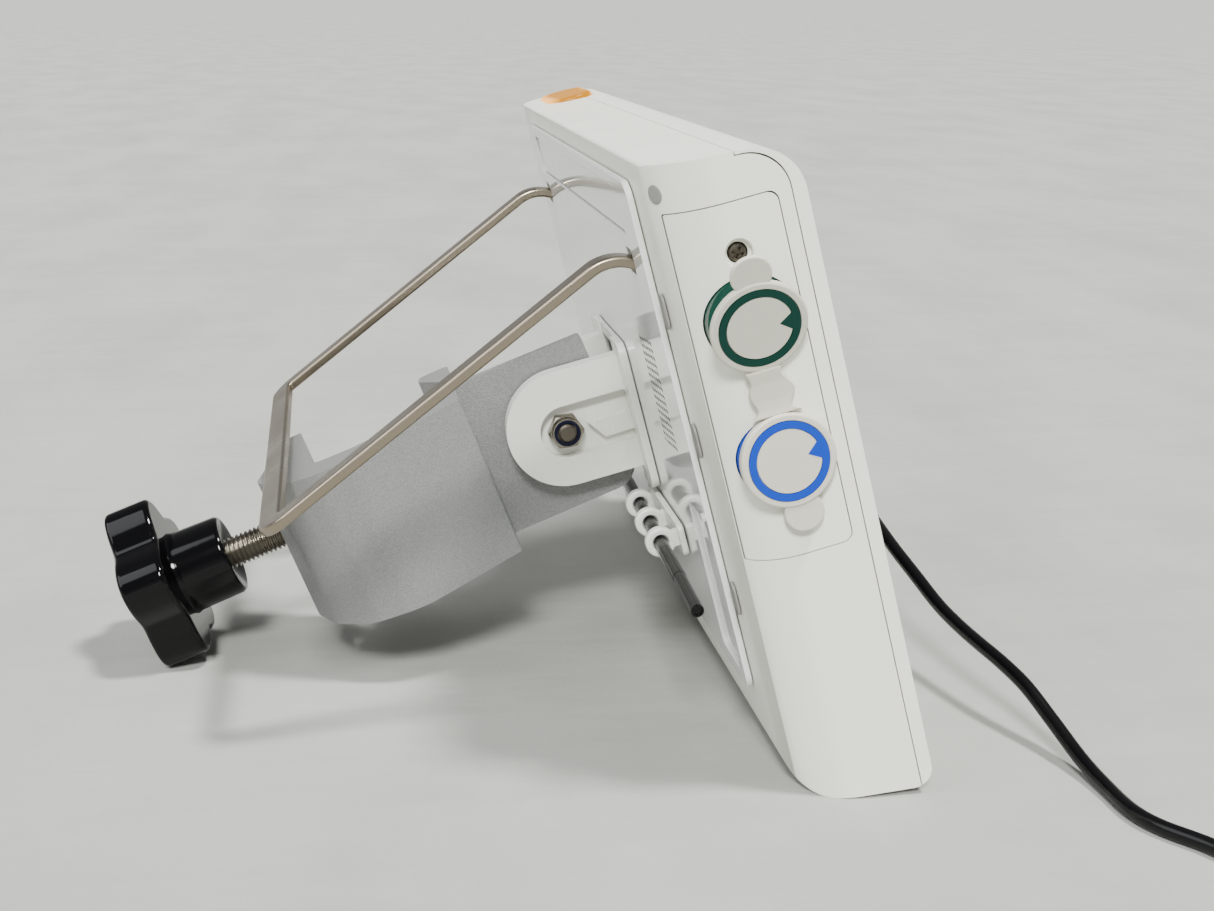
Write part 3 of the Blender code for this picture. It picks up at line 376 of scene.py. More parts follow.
def box_outline(low_u, high_u, low_v, high_v, radius=0.0, steps=8):
    corners = [(low_u, low_v), (high_u, low_v), (high_u, high_v), (low_u, high_v)]
    return rounded([(u, v, radius) for u, v in corners], steps)


def circle(radius, sides, centre=(0, 0), start=0.0):
    turn = 2 * math.pi / sides
    angles = [start + turn * i for i in range(sides)]
    return [Vector((centre[0] + radius * math.cos(a), centre[1] + radius * math.sin(a))) for a in angles]


def joined_rings(shape, one, two):
    """Faces between two rings of the same number of corners."""
    for i in range(len(one)):
        j = (i + 1) % len(one)
        shape.faces.new((one[i], one[j], two[j], two[i]))


def tube(shape, rings):
    """Closed skin through the rings, with a cap on the first and the last."""
    for one, two in zip(rings, rings[1:]):
        joined_rings(shape, one, two)
    shape.faces.new(rings[0])
    shape.faces.new(list(reversed(rings[-1])))


def prism(outline, low, high, axis):
    """Outline in the plane across `axis`, drawn out from `low` to `high`."""
    spot = {
        "X": lambda u, v, along: (along, u, v),
        "Y": lambda u, v, along: (u, along, v),
        "Z": lambda u, v, along: (u, v, along),
    }[axis]
    shape = bmesh.new()
    near = [shape.verts.new(spot(u, v, low)) for u, v in outline]
    far = [shape.verts.new(spot(u, v, high)) for u, v in outline]
    shape.faces.new(near)
    shape.faces.new(list(reversed(far)))
    joined_rings(shape, near, far)
    return shape


def block(low_x, high_x, low_y, high_y, low_z, high_z, radius=0.0):
    """Box with the edges that run along y rounded."""
    return prism(box_outline(low_x, high_x, low_z, high_z, radius), low_y, high_y, "Y")


def turned(profile, sides, axis, centre=(0, 0, 0)):
    """(radius, along) profile turned about `axis`. One that keeps off the axis closes into a ring."""
    shape = bmesh.new()
    rings = []
    for radius, along in profile:
        if radius == 0:
            rings.append([shape.verts.new((0, 0, along))])
            continue
        rings.append([shape.verts.new((p.x, p.y, along)) for p in circle(radius, sides)])
    closed = len(rings[0]) > 1
    pairs = list(zip(rings, rings[1:])) + ([(rings[-1], rings[0])] if closed else [])
    for one, two in pairs:
        for i in range(sides):
            j = (i + 1) % sides
            corners = [one[i % len(one)], one[j % len(one)], two[j % len(two)], two[i % len(two)]]
            unique = list(dict.fromkeys(corners))
            if len(unique) > 2:
                shape.faces.new(unique)
    turn = {
        "X": Matrix.Rotation(math.radians(90), 4, "Y"),
        "Y": Matrix.Rotation(math.radians(-90), 4, "X"),
    }[axis]
    shape.transform(Matrix.Translation(centre) @ turn)
    return shape


def solid(shape):
    """Turn a bmesh into an object, faces outward."""
    bmesh.ops.remove_doubles(shape, verts=shape.verts, dist=0.001)
    bmesh.ops.recalc_face_normals(shape, faces=shape.faces)
    mesh = bpy.data.meshes.new("shape")
    shape.to_mesh(mesh)
    shape.free()
    thing = bpy.data.objects.new("shape", mesh)
    bpy.context.collection.objects.link(thing)
    return thing


def settle(thing):
    """Apply every modifier to the mesh and drop them."""
    graph = bpy.context.evaluated_depsgraph_get()
    fresh = bpy.data.meshes.new_from_object(thing.evaluated_get(graph))
    old = thing.data
    thing.modifiers.clear()
    thing.data = fresh
    bpy.data.meshes.remove(old)
    return thing


def combine(thing, operation, *shapes):
    """Boolean of `thing` with each shape in turn. The shapes are used up."""
    tools = [shape if isinstance(shape, bpy.types.Object) else solid(shape) for shape in shapes]
    for tool in tools:
        modifier = thing.modifiers.new("combine", "BOOLEAN")
        modifier.operation = operation
        modifier.solver = "EXACT"
        modifier.object = tool
    settle(thing)
    for tool in tools:
        bpy.data.objects.remove(tool)
    return thing


def cut(thing, *shapes):
    return combine(thing, "DIFFERENCE", *shapes)


def fuse(thing, *shapes):
    return combine(thing, "UNION", *shapes)


def within(thing, *shapes):
    return combine(thing, "INTERSECT", *shapes)


def soften(thing, width, segments=3, angle=35):
    """Round the edges sharper than `angle`."""
    weld = thing.modifiers.new("weld", "WELD")
    weld.merge_threshold = 0.004
    modifier = thing.modifiers.new("soft", "BEVEL")
    modifier.width = width
    modifier.segments = segments
    modifier.limit_method = "ANGLE"
    modifier.angle_limit = math.radians(angle)
    modifier.miter_outer = "MITER_ARC"
    return settle(thing)


def copy_of(thing):
    twin = bpy.data.objects.new(thing.name, thing.data.copy())
    bpy.context.collection.objects.link(twin)
    return twin


def gather(name, *things):
    """Join finished solids into one mesh without cutting them."""
    joined = bmesh.new()
    for thing in things:
        joined.from_mesh(thing.data)
        bpy.data.objects.remove(thing)
    mesh = bpy.data.meshes.new(name)
    joined.to_mesh(mesh)
    joined.free()
    whole = bpy.data.objects.new(name, mesh)
    bpy.context.collection.objects.link(whole)
    return whole


def place(thing, name, matrix, paint, body, nodes, crease=38, weighted=True):
    """Name a finished piece, move it into the row frame and make it ride on its body."""
    thing.name = name
    thing.data.name = name
    thing.data.shade_smooth()
    thing.data.set_sharp_from_angle(angle=math.radians(crease))
    if weighted:
        modifier = thing.modifiers.new("weighted", "WEIGHTED_NORMAL")
        modifier.keep_sharp = True
        modifier.weight = 80
        settle(thing)
        thing.data.name = name
    thing.data.transform(matrix)
    thing.data.materials.clear()
    thing.data.materials.append(PAINT[paint])
    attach(thing, body)
    if nodes:
        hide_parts(*nodes)


def repaint(node, paint):
    """Give a CAD solid that stays its finish."""
    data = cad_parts[node].data
    data.materials.clear()
    data.materials.append(PAINT[paint])


# ---------------------------------------------------------------- housing

def slab_outline(inset):
    """Housing from the side."""
    corners = [
        (-inset, TOP - 0.1 - inset, 1.5),
        (-inset, 1.26 + inset, 11),
        (-DEPTH + inset, -4.5 + inset, 5),
        (-DEPTH + inset, TOP - 2.0 - inset, 13),
    ]
    return rounded(corners, 16)


def plan_outline(inset):
    """Housing from above, open past its front."""
    corners = [
        (-HALF + inset, -inset, 16 - inset / 2),
        (HALF - inset, -inset, 16 - inset / 2),
        (HALF - inset, -DEPTH - 10, 0),
        (-HALF + inset, -DEPTH - 10, 0),
    ]
    return rounded(corners, 20)


def slab(inset=0.0):
    """Housing as one solid, or the space inside its walls when inset."""
    whole = solid(prism(slab_outline(inset), -HALF - 1, HALF + 1, "X"))
    return within(whole, prism(plan_outline(inset), -20, TOP + 20, "Z"))


def seam_cut(extra):
    """Side outline of the space in front of the seam between the shell and the front frame."""
    front = SEAM_DEPTH + extra
    step = STEP_DEPTH + extra
    return rounded([
        (-front, -30, 0), (-front, TOP - 2.8 + extra, 10.5), (-step, TOP - 2.3 + extra, 0),
        (-step, TOP + 20, 0), (-80, TOP + 20, 0), (-80, -30, 0),
    ], 14)


def panel_window(extra):
    low_y, high_y = -28.9 + extra, -1.9 - extra
    low_z, high_z = 68.8 + extra, 159.6 - extra
    return rounded([
        (low_y, low_z, 2.6), (high_y, low_z, 0.5), (high_y, high_z, 0.5), (low_y, high_z, 2.6),
    ], 8)


def lens_outline(extra=0.0):
    return box_outline(92 - extra, 127 + extra, -23.6 - extra, -7.2 + extra, 7.5 + extra, 12)


def vent_holes():
    """All the slanted slots of the rear vent as one cutting shape."""
    holes = bmesh.new()
    for row in range(VENT_ROWS):
        for column in range(VENT_COLUMNS):
            x = VENT_START[0] + column * 4.1
            z = VENT_START[1] + row * 2.2 - column * 0.45
            near = [holes.verts.new((x + u, -WALL - 1, z + v)) for u, v in VENT_SLOT]
            far = [holes.verts.new((x + u, 3, z + v)) for u, v in VENT_SLOT]
            tube(holes, [near, far])
    return holes


def paint_vent_shade(thing):
    """Painted shade: give the walls of the vent slots a darker paint than the face they open in, standing in
    for the shadow inside the slots.
    """
    thing.data.materials.append(PAINT["vent"])
    back = TO_MONITOR.inverted()
    (low_x, high_x), (low_z, high_z) = VENT_ZONE
    for face in thing.data.polygons:
        middle = back @ face.center
        outward = (back.to_3x3() @ face.normal).normalized()
        if low_x < middle.x < high_x and low_z < middle.z < high_z and abs(outward.y) < 0.5:
            face.material_index = 1


def near_side(profile):
    """Profile with its distances measured inward from the housing's near side."""
    return [(radius, inward - HALF) for radius, inward in profile]


def build_housing():
    outer = soften(slab(), 0.9, 2, 50)
    shell = copy_of(outer)
    cut(shell, slab(WALL))
    cut(
        shell,
        prism(seam_cut(0.0), -HALF * 1.2, HALF * 1.2, "X"),
        prism(panel_window(0.0), -HALF - 4, -HALF + CUT_DEPTH, "X"),
        prism(lens_outline(0.3), TOP - 12, TOP + 8, "Z"),
        prism(circle(6.3, 32, (-16, 52)), HALF - 8, HALF + 4, "X"),
        vent_holes(),
    )
    side_panel = within(copy_of(outer), prism(panel_window(0.3), -HALF - 4, -HALF + CUT_DEPTH - 1, "X"))
    cut(side_panel, slab(WALL))
    screw_well = near_side([
        (0, -3), (3.8, -3), (3.8, -0.1), (3.45, 0.25), (3.3, 1.9), (2.6, 2.0), (2.6, 9), (0, 9),
    ])
    cut(
        side_panel,
        prism(circle(PORT_HOLE, 56, (-PORT_DEPTH, GREEN_UP)), -HALF - 4, -HALF + CUT_DEPTH, "X"),
        prism(circle(PORT_HOLE, 56, (-PORT_DEPTH, BLUE_UP)), -HALF - 4, -HALF + CUT_DEPTH, "X"),
        turned(screw_well, 40, "X", SCREW_SPOT),
    )
    bezel = within(outer, prism(seam_cut(0.3), -HALF * 1.1, HALF * 1.1, "X"))
    cut(
        bezel,
        prism(lens_outline(0.3), TOP - 12, TOP + 8, "Z"),
        block(-117, 117, -DEPTH - 5, -DEPTH + 2.6, 18, 156, 3),
        block(-114, 114, -DEPTH - 5, -20, 21, 153, 2),
        prism(circle(5.2, 40, BUTTON_SPOT), -DEPTH - 5, -DEPTH + 8, "Y"),
    )
    place(shell, "rear_shell", TO_MONITOR, "body", "monitor", ["rear_housing"])
    # Painted shade on the vent slot walls.
    paint_vent_shade(shell)
    place(side_panel, "side_cover", TO_MONITOR, "panel", "monitor", ["side_panel"])
    place(bezel, "front_frame", TO_MONITOR, "bezel", "monitor", ["front_bezel"])


def build_lens():
    lens = solid(prism(lens_outline(), TOP - 6, TOP + 0.5, "Z"))
    soften(lens, 1.5, 5)
    place(lens, "alarm_lens", TO_MONITOR, "lens", "monitor", ["alarm_light_lens"])


# ---------------------------------------------------------------- rear fittings

def build_rear_panel():
    """Glossy skin over the rear, and the strip above it."""
    panel = solid(prism(box_outline(-102, 102, 22, 166, 5, 10), 0.3, 2.0, "Y"))
    cut(panel, block(-84, 84, -1, 4, 150, 163, 2))
    for side in (-1, 1):
        low, high = sorted((side * 76, side * 97))
        cut(panel, block(low, high, 1.0, 4, 27, 72, 3))
    soften(panel, 0.5, 3)
    for side in (-1, 1):
        middle = side * 82.2
        cut(panel, block(middle - 4.1, middle + 4.1, -1, 4, 139.3, 146.3))
    cut(panel, vent_holes())
    place(panel, "rear_skin", TO_MONITOR, "gloss", "monitor", ["rear_panel"])
    # Painted shade on the vent slot walls.
    paint_vent_shade(panel)
    cover = soften(solid(prism(box_outline(-83.7, 83.7, 150.3, 162.7, 1.7, 8), 0.3, 1.4, "Y")), 0.35, 3)
    place(cover, "rear_strip", TO_MONITOR, "gloss", "monitor", ["rear_cover"])


def build_bracket():
    """White clevis: a base, two ears with a nut pocket and a rib, and softened edges."""
    base_plate = solid(block(HINGE_X - 27, HINGE_X + 27, 2.3, 4.6, HINGE_UP - 24, HINGE_UP + 24, 4))
    cut(base_plate, block(HINGE_X - EAR_GAP, HINGE_X + EAR_GAP, 1, 9, HINGE_UP - 30, HINGE_UP + 30))
    ear = rounded([
        (2.6, HINGE_UP - 17.5, 0), (HINGE_BACK + 18.5, HINGE_UP - 17.5, 18.4),
        (HINGE_BACK + 18.5, HINGE_UP + 19.5, 18.4), (2.6, HINGE_UP + 19.5, 0),
    ], 24)
    pocket = rounded([
        (4.6, HINGE_UP - 8.2, 1), (HINGE_BACK + 8.2, HINGE_UP - 8.2, 8.1),
        (HINGE_BACK + 8.2, HINGE_UP + 8.2, 8.1), (4.6, HINGE_UP + 8.2, 1),
    ], 18)
    rib = [Vector((g, HINGE_UP + v)) for g, v in ((3.4, 0.9), (18.2, 0.4), (14.0, -5.4), (3.4, -5.2))]
    for side in (-1, 1):
        inner = HINGE_X + side * EAR_GAP
        outer = inner + side * EAR_WIDTH
        fuse(base_plate, prism(ear, *sorted((inner, outer)), "X"))
        cut(base_plate, prism(pocket, *sorted((outer - side * 3.4, outer + side * 2)), "X"))
        fuse(base_plate, prism(rib, *sorted((outer - side * 4.0, outer - side * 1.2)), "X"))
    cut(base_plate, prism(circle(3.1, 40, (HINGE_BACK, HINGE_UP)), HINGE_X - 30, HINGE_X + 30, "X"))
    for side in (-1, 1):
        middle = HINGE_UP + side * 21.9
        fuse(base_plate, block(HINGE_X - 22, HINGE_X + 22, 2.3, 3.4, middle - 1.9, middle + 1.9))
    soften(base_plate, 0.7, 3)
    place(base_plate, "clevis", TO_MONITOR, "hinge", "monitor", ["hinge_bracket"])


def build_pivot():
    """Pivot pin and its lock nut, with the nut's collar crimped over the lock ring."""
    centre = (HINGE_BACK, HINGE_UP)
    near = HINGE_X - NUT_FACE
    far = HINGE_X + NUT_FACE
    bolt = solid(turned([
        (0, near - 5.9), (2.2, near - 5.9), (2.8, near - 5.4), (2.95, near - 5.2), (2.95, far),
        (5.5, far), (5.5, far + 3.6), (4.9, far + 4.2), (0, far + 4.2),
    ], 48, "X", (0, *centre)))
    place(bolt, "pin", TO_MONITOR, "screw", "monitor", ["pivot_bolt"])
    nut = solid(prism(circle(5.75, 6, centre, math.radians(8)), near - 3.8, near, "X"))
    within(nut, turned([
        (0, near + 1), (5.9, near + 1), (5.9, near - 3.0), (4.9, near - 4.0), (0, near - 4.0),
    ], 48, "X", (0, *centre)))
    collar = turned([
        (3.05, near - 1), (4.75, near - 1), (4.75, near - 4.6), (4.4, near - 5.2), (4.2, near - 5.2),
        (4.2, near - 3.9), (3.05, near - 3.9),
    ], 48, "X", (0, *centre))
    nut = gather("nut", nut, solid(collar))
    place(nut, "lock_nut", TO_MONITOR, "steel", "monitor", ["pivot_nut"])


def ahead(heading):
    return Vector((math.cos(heading), math.sin(heading)))


def over(heading):
    return Vector((-math.sin(heading), math.cos(heading)))


def bail_point(along):
    """Place in (y, z) at a distance along the bar, and the direction of its thickness there."""
    heading = BAIL_RISE
    spot = BAIL_ROOT + min(along, BAIL_BEND_START) * ahead(heading)
    past = along - BAIL_BEND_START
    if past > 0:
        centre = spot - BAIL_BEND * over(heading)
        heading -= min(past, BAIL_ARC) / BAIL_BEND
        spot = centre + BAIL_BEND * over(heading)
    if past > BAIL_ARC:
        spot += (past - BAIL_ARC) * ahead(heading)
    return spot, over(heading)


def build_bail():
    """Flat U of bar, sliced where it bends, then laid along its bent centre line."""
    half, reach, foot = BAIL_HALF, BAIL_REACH, BAIL_FOOT
    inner, short = half - BAIL_WIDTH, reach - BAIL_WIDTH
    outline = rounded([
        (-half, foot, 0), (-half, reach, 9), (half, reach, 9), (half, foot, 0),
        (inner, foot, 0), (inner, short, 1), (-inner, short, 1), (-inner, foot, 0),
    ], 12)
    flat = soften(solid(prism(outline, 0, BAIL_THICK, "Z")), 1.3, 5)
    bent = bmesh.new()
    bent.from_mesh(flat.data)
    slices = 18
    for step in range(slices + 1):
        geometry = bent.verts[:] + bent.edges[:] + bent.faces[:]
        slice_at = (0, BAIL_BEND_START + BAIL_ARC * step / slices, 0)
        bmesh.ops.bisect_plane(bent, geom=geometry, plane_co=slice_at, plane_no=(0, 1, 0))
    for vertex in bent.verts:
        spot, outward = bail_point(vertex.co.y)
        point = spot + outward * vertex.co.z
        vertex.co = (vertex.co.x, point.x, point.y)
    bent.to_mesh(flat.data)
    bent.free()
    place(flat, "bail", TO_MONITOR, "bail", "monitor", ["bail_handle"], 60)


def stylus_axis(x):
    """Pen's axis, which drifts a little in y and z along the housing."""
    return (8.2 - STYLUS_TURN * x, 52.1 - STYLUS_DIP * x)


def build_stylus():
    """Pen, and the three loops on a plate that hold it."""
    parts = [soften(solid(block(-54, -6, 2.3, 4.2, 47, 57, 2)), 0.5, 2)]
    for number in range(3):
        middle = -10.0 - number * LOOP_STEP
        centre = stylus_axis(middle)
        low, high = middle - 1.6, middle + 1.6
        loop = solid(turned([(2.35, low), (4.6, low), (4.6, high), (2.35, high)], 48, "X", (0, *centre)))
        parts.append(soften(loop, 0.75, 4))
        back, up = centre
        foot = solid(block(middle - 1.5, middle + 1.5, 3.2, back - 3.1, up - 2.4, up + 2.4))
        parts.append(soften(foot, 0.3, 2))
    place(gather("hooks", *parts), "stylus_loops", TO_MONITOR, "hinge", "monitor", ["stylus_holder"])
    rod = solid(turned([
        (0, -109.4), (1.2, -109.4), (1.3, -110), (1.6, -110), (1.8, -109.8), (1.85, -109.5), (1.85, -83.2),
        (1.95, -82.9), (2.0, -82.6), (2.0, 16), (1.7, 18.5), (0.8, 24), (0.5, 24.4), (0, 24.5),
    ], 40, "X"))
    matrix = TO_MONITOR @ Matrix.Translation((0, *stylus_axis(0)))
    matrix = matrix @ Matrix.Rotation(-STYLUS_TURN, 4, "Z") @ Matrix.Rotation(STYLUS_DIP, 4, "Y")
    place(rod, "pen", matrix, "black", "stylus", ["stylus"])


def build_button():
    x, z = BUTTON_SPOT
    profile = [(0, -0.7), (3.6, -0.7), (4.4, -0.4), (4.7, 0.1), (4.7, 2.0), (0, 2.0)]
    shape = solid(turned(profile, 40, "Y", (x, -DEPTH, z)))
    place(shape, "power_key", TO_MONITOR, "button", "power_button", ["power_button"])


# ---------------------------------------------------------------- ports and caps

def build_cap(name, up, lift, tilt, tab_turn, notch_turn, body, drop=0.0, skirt=0.0):
    """Rubber cap: a soft-edged disc with a pull tab and a plug, and a coloured ring with a triangle."""
    disc = solid(turned([
        (0, -1.9), (8.2, -1.9), (8.2, -1.35), (10.3, -1.35), (10.3, -1.9), (11.6, -1.9), (12.1, -1.5),
        (12.1, skirt - 0.3), (11.8, skirt), (11.2, skirt), (11.0, 0), (6.4, 0), (6.2, 3.0), (0, 3.0),
    ], 72, "X"))
    tab = solid(prism(box_outline(-5.1, 5.1, 9, 19, 4.9, 14), -1.55, -0.15, "X"))
    tab.data.transform(Matrix.Rotation(tab_turn, 4, "X"))
    soften(disc, 0.25, 2)
    soften(tab, 0.5, 3)
    disc = gather(name, disc, tab)
    ring = solid(turned([(8.35, -2.0), (10.15, -2.0), (10.15, -1.5), (8.35, -1.5)], 96, "X"))
    notch = solid(prism([Vector((0, 4.9)), Vector((2.7, 8.5)), Vector((-2.7, 8.5))], -1.98, -1.7, "X"))
    notch.data.transform(Matrix.Rotation(notch_turn, 4, "X"))
    ring = gather(name + "_mark", ring, notch)
    forward = 0.3 if name == "blue" else 0
    matrix = TO_MONITOR @ Matrix.Translation((-HALF - lift, -PORT_DEPTH - forward, up - drop))
    matrix = matrix @ Matrix.Rotation(-tilt, 4, "Y")
    place(disc, f"cap_{name}_rubber", matrix, "rubber", body, [f"cap_{name}"])
    place(ring, f"cap_{name}_mark", matrix, name, body, [f"cap_{name}_ring"])


def build_strap():
    """Rubber strip from one cap to the other, bulging forward, with a flare into the lower cap."""
    stations = [
        (-134.3, 118.6, 15.4, 4.6), (-134.1, 117.2, 15.5, 4.0), (-133.8, 115.8, 15.8, 4.1),
        (-133.6, 114.6, 16.2, 4.9), (-133.5, 113.4, 16.4, 5.5), (-133.4, 112.2, 16.5, 5.7),
        (-133.3, 111.0, 16.5, 5.3), (-133.3, 109.8, 16.4, 4.6), (-133.3, 108.7, 16.3, 4.3),
        (-133.4, 107.7, 16.4, 4.6), (-133.5, 106.9, 16.6, 5.6), (-133.5, 106.5, 16.7, 6.4),
    ]
    shape = bmesh.new()
    rings = []
    for x, z, depth, half in stations:
        outer, inner = x - 0.9, x + 1.0
        front, rear = -depth - half, -depth + half
        ring = [(outer, front), (inner, front), (inner, rear), (outer, rear)]
        rings.append([shape.verts.new((px, py, z)) for px, py in ring])
    tube(shape, rings)
    strap = soften(solid(shape), 0.35, 3, 60)
    place(strap, "strap", TO_MONITOR, "rubber", "monitor", ["cap_strap"], 60)


def build_side():
    build_cap("green", GREEN_UP, 3.9, math.radians(17), 0.0, math.radians(92), "cap_green", 0.2)
    build_cap("blue", BLUE_UP, 1.2, 0.0, math.radians(176), math.radians(84), "cap_blue", skirt=0.9)
    build_strap()
    screw = solid(turned(near_side([
        (0, 1.7), (1.3, 1.75), (2.0, 1.95), (2.35, 2.4), (2.35, 3.2), (1.5, 3.6), (1.5, 9), (0, 9),
    ]), 40, "X", SCREW_SPOT))
    for turn in (0, 90):
        slot = solid(block(-HALF - 1, -HALF + 2.7, -1.5, 1.5, -0.4, 0.4))
        turn_slot = Matrix.Rotation(math.radians(turn + 30), 4, "X")
        slot.data.transform(Matrix.Translation(SCREW_SPOT) @ turn_slot)
        cut(screw, slot)
    place(screw, "cover_screw", TO_MONITOR, "screw", "monitor", ["side_panel_screw"], 30, False)
    for side in (-1, 1):
        plug = solid(turned([(0, 0.35), (1.9, 0.32), (2.4, 0.1), (2.5, -0.8), (0, -0.8)], 32, "Y"))
        matrix = TO_MONITOR @ Matrix.Translation((side * 123.1, -1.66, 164.4))
        matrix = matrix @ Matrix.Rotation(-side * math.radians(27), 4, "Z")
        place(plug, f"corner_dot_{'near' if side < 0 else 'far'}", matrix, "plug", "monitor", [])


# ---------------------------------------------------------------- clamp

def clamp_outline():
    """Casting from above: tongue at the hinge, then the C round the pole."""
    return rounded([
        (-30.5, 26.8, 0.8), (-34.8, 38.6, 14), (-43.0, 60.5, 20), (-40.2, 75.5, 14), (-31.0, 87.8, 12),
        (-16, 94.0, 10), (20, 84.5, 2), (19, 79, 2), (-27, 75, 6), (-30.8, 61.6, 10), (-31.5, 44, 5),
        (-14, 38.0, 1.5), (0, 30.5, 2), (12, 37.4, 2), (17, 36.6, 2), (18, 26.8, 2),
        (TONGUE_HALF, 26.8, 0), (TONGUE_HALF, -17.2, 0), (-TONGUE_HALF, -17.2, 0), (-TONGUE_HALF, 26.8, 0),
    ], 10)


def clamp_side_outline():
    """Casting from the side."""
    return rounded([
        (-17.3, -25.8, 8), (50, -26.6, 0), (78, -26.2, 6), (100, -23.4, 6),
        (100, 21.6, 6), (80, 23.2, 6), (50, 25.4, 0), (-15.2, 26.0, 1.5),
    ], 10)


def build_clamp():
    casting = solid(prism(clamp_outline(), -40, 40, "Z"))
    within(casting, prism(clamp_side_outline(), -70, 40, "X"))
    slope = [Vector((-11, 26.2)), Vector((14, 19.7)), Vector((14, 30)), Vector((-11, 30))]
    cut(casting, prism(slope, -20, 26.8, "Y"))
    fuse(casting, turned([(0, 70), (8.5, 70), (9, 91.5), (8, 92.3), (0, 92.3)], 56, "Y"))
    cut(casting, prism(circle(11, 48), 55, 77, "Y"))
    soften(casting, 1.1, 4, 30)
    cut(casting, prism(circle(5.15, 48, (0, 0), 0.05), 60, 110, "Y"), prism(circle(3.15, 40), -20, 20, "X"))
    place(casting, "casting", TO_CLAMP, "cast", "clamp", ["clamp_casting"])


def star_outline(radius, valley, lobes, samples, turn):
    """Knob's outline: rounded lobes out to `radius` with shallow valleys between them."""
    points = []
    for i in range(lobes * samples):
        angle = 2 * math.pi * i / (lobes * samples)
        swing = 0.5 + 0.5 * math.cos(lobes * angle)
        reach = valley + (radius - valley) * swing ** 0.8
        points.append(Vector((-reach * math.cos(angle + turn), reach * math.sin(angle + turn))))
    return points


def build_screw():
    """M10 thread as a true helix, with a plain end inside the pad."""
    pitch, radius, sides, rows = 1.5, 4.9, 48, 12
    start, end = 64.5, 119.5
    count = int((end - start) / pitch * rows)
    shape = bmesh.new()
    rings = []
    for row in range(count + 1):
        along = start + (end - start) * row / count
        ring = []
        for side in range(sides):
            angle = 2 * math.pi * side / sides
            phase = ((along / pitch) - side / sides) % 1.0
            height = abs(phase * 2 - 1)
            depth = 0.85 * min(max((height - 0.12) / 0.76, 0), 1)
            taper = 0.7 if row < 4 else 0.0
            reach = radius - max(depth, taper)
            ring.append(shape.verts.new((reach * math.cos(angle), along, reach * math.sin(angle))))
        rings.append(ring)
    tube(shape, rings)
    place(solid(shape), "thread", TO_CLAMP, "steel", "clamp_screw", ["clamp_screw"], 85, False)


def build_knob():
    """Five-lobed knob on its hub."""
    end = KNOB_START
    star = solid(prism(star_outline(26.8, 20.8, 5, 22, math.radians(18)), end + 16.8, end + 31.4, "Y"))
    soften(star, 1.7, 5, 50)
    hub = solid(turned([
        (0, end + 9), (5.2, end + 9), (5.2, end + 2.2), (9.4, end + 0.6), (11.2, end), (12.3, end + 0.3),
        (12.9, end + 1.3), (13.2, end + 15.5), (14.2, end + 18), (0, end + 18),
    ], 72, "Y"))
    place(gather("knob", star, hub), "star_knob", TO_CLAMP, "knob", "clamp_screw", ["clamp_knob"], 50)


# ---------------------------------------------------------------- lead

def cord_route():
    """From the inlet round behind the housing, down to the floor and out to the coil."""
    return [Vector(p) + LEAD_SHIFT for p in (
        (179.2, -78, 52.4), (192, -80, 52), (205.5, -90, 51.4), (212.5, -108, 50.4), (209.5, -128, 49),
        (195.5, -141, 47.4), (175.5, -146, 45.6), (143.5, -146.5, 43.4), (103.5, -144, 41),
        (63.5, -140, 39), (28.5, -136.5, 37.2), (-6.5, -134, 35), (-21.5, -134.6, 32),
        (-36.5, -136.5, 28), (-52.5, -139, 23.2), (-64.5, -141, 21), (-75.5, -143, 19.6),
        (-86.5, -145.5, 18), (-97.5, -148.5, 15), (-109.5, -151.5, 9.6), (-124.5, -154, 4.2),
        (-137.5, -155.2, 2.35), (-151.5, -155.8, 2.35), (-159.5, -158.5, 2.35), (-171.5, -166.5, 2.35),
        (-184.5, -172, 2.35), (-199.5, -176.5, 2.35), (-213.6, -189.5, 2.35), (-219.3, -205, 2.35),
    )]


def smooth_curve(points, steps=24):
    """Centripetal spline through the points, with `steps` short lines for each stretch."""
    ends = [2 * points[0] - points[1]] + points + [2 * points[-1] - points[-2]]
    fine = []
    for p0, p1, p2, p3 in zip(ends, ends[1:], ends[2:], ends[3:]):
        t1 = (p1 - p0).length ** 0.5
        t2 = t1 + (p2 - p1).length ** 0.5
        t3 = t2 + (p3 - p2).length ** 0.5
        for step in range(steps):
            t = t1 + (t2 - t1) * step / steps
            a1 = p0 + (p1 - p0) * (t / t1)
            a2 = p1 + (p2 - p1) * ((t - t1) / (t2 - t1))
            a3 = p2 + (p3 - p2) * ((t - t2) / (t3 - t2))
            b1 = a1 + (a2 - a1) * (t / t2)
            b2 = a2 + (a3 - a2) * ((t - t1) / (t3 - t1))
            fine.append(b1 + (b2 - b1) * ((t - t1) / (t2 - t1)))
    fine.append(points[-1])
    return fine


def coil_path(centre, radius):
    """Seven turns packed beside and on each other, each step to the next place made in a short arc."""
    points = []
    first, last = 176, 170 + 360 * COIL_TURNS
    for degrees in range(first, last + 1, 6):
        ease = max(0.0, 1 - (degrees - first) / 72) ** 2 * (1 + 2 * (degrees - first) / 72)
        count = max(0.0, (degrees - 400) / 360 + 1)
        turn = min(int(count), COIL_TURNS - 1)
        part = min((count - turn) * 360 / 60, 1.0) if turn else 1.0
        part = part * part * (3 - 2 * part)
        here = Vector(COIL_SLOTS[turn])
        offset = Vector(COIL_SLOTS[max(turn - 1, 0)]).lerp(here, part)
        reach = radius + offset.x + ease * 8.9
        angle = math.radians(degrees)
        height = offset.y - ease * 5.85
        points.append(centre + Vector((reach * math.cos(angle), reach * math.sin(angle), height)))
    return points


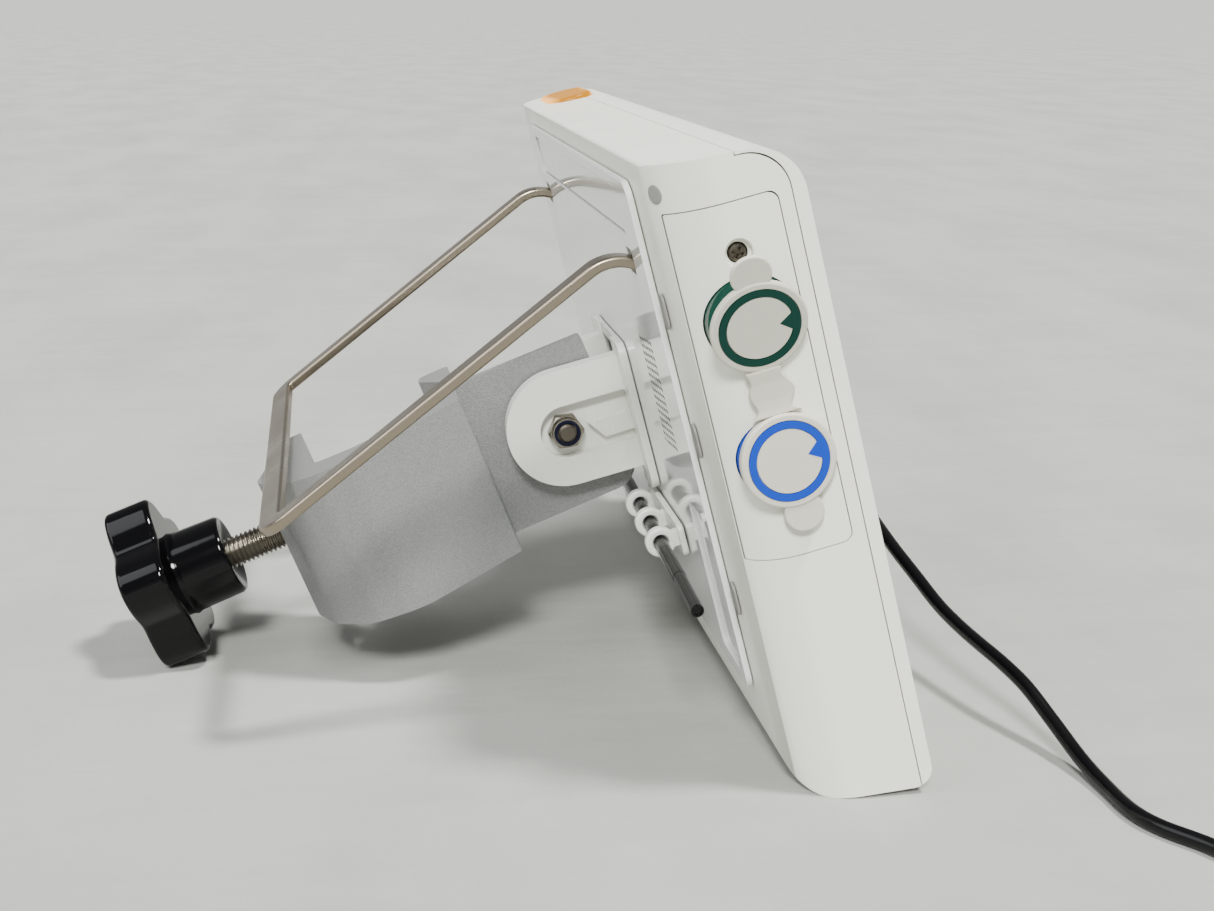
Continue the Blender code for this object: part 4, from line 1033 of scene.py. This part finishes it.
def build_cord():
    """Lead from the inlet to its connector: the route, the coil and a last bend out of it."""
    path = smooth_curve(cord_route())
    path_coil = coil_path(COIL_CENTRE, COIL_RADIUS)
    tail = COIL_CENTRE + Vector((-14.3, -35.6, -3.0))
    leave = path_coil[-1]
    arc_centre = tail + Vector((0, TAIL_RADIUS, 0))
    path_out = []
    for step in range(1, 6):
        path_out.append(leave.lerp(arc_centre + Vector((-16.9, 1.5, 0)), step / 6))
    for step in range(13):
        heading = math.radians(175 + step * 95 / 12)
        path_out.append(arc_centre + TAIL_RADIUS * Vector((math.cos(heading), math.sin(heading), 0)))
    curve = bpy.data.curves.new("lead", "CURVE")
    curve.dimensions = "3D"
    curve.bevel_depth = CORD_RADIUS * MM
    curve.bevel_resolution = 4
    curve.use_fill_caps = True
    spline = curve.splines.new("POLY")
    points = path + path_coil + path_out
    kept = [points[0]]
    for point in points[1:]:
        if (point - kept[-1]).length > CORD_POINT_GAP:
            kept.append(point)
    spline.points.add(len(kept) - 1)
    for target, point in zip(spline.points, kept):
        target.co = (*(point * MM), 1)
    lead = bpy.data.objects.new("lead", curve)
    bpy.context.collection.objects.link(lead)
    curve.materials.append(PAINT["cord"])
    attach(lead, "monitor")
    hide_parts("power_cord", "cord_coil")
    relief = solid(turned([
        (0, 0), (4.0, 0), (4.1, 0.6), (4.0, 3.6), (3.7, 3.9), (3.7, 5.1), (3.8, 5.4), (3.7, 8.4), (3.4, 8.7),
        (3.4, 9.9), (3.5, 10.2), (3.35, 13.2), (3.1, 13.5), (3.1, 14.7), (3.15, 15), (3.0, 18), (2.75, 18.6),
        (2.7, 24), (0, 24),
    ], 32, "X"))
    matrix = TO_MONITOR @ Matrix.Translation((HALF + 18.8, -16, 52))
    place(relief, "relief", matrix, "cord", "monitor", ["strain_relief"])


CARRIED_OVER = (
    ("display_glass", "glass"), ("display_panel", "display"), ("main_board", "board"),
    ("alarm_light_board", "board"), ("port_board", "board"), ("battery_pack", "battery"),
    ("speaker", "black"), ("nut_lock_ring", "navy"), ("pivot_washer_near", "nylon"),
    ("pivot_washer_far", "nylon"), ("port_green", "collar"), ("port_blue", "blue"), ("clamp_pad", "black"),
    ("cord_tie", "black"), ("cord_connector", "cord"), ("power_plug", "cord"), ("power_inlet", "black"),
    *((f"slot_plug_{side}_{number}", "plug") for side in ("near", "far") for number in (1, 2, 3)),
)


def main():
    make_camera()
    make_paints()
    make_stage()
    build_cord()
    build_housing()
    build_lens()
    build_rear_panel()
    build_bracket()
    build_pivot()
    build_bail()
    build_stylus()
    build_button()
    build_side()
    build_clamp()
    build_screw()
    build_knob()
    for node, paint in CARRIED_OVER:
        repaint(node, paint)


main()
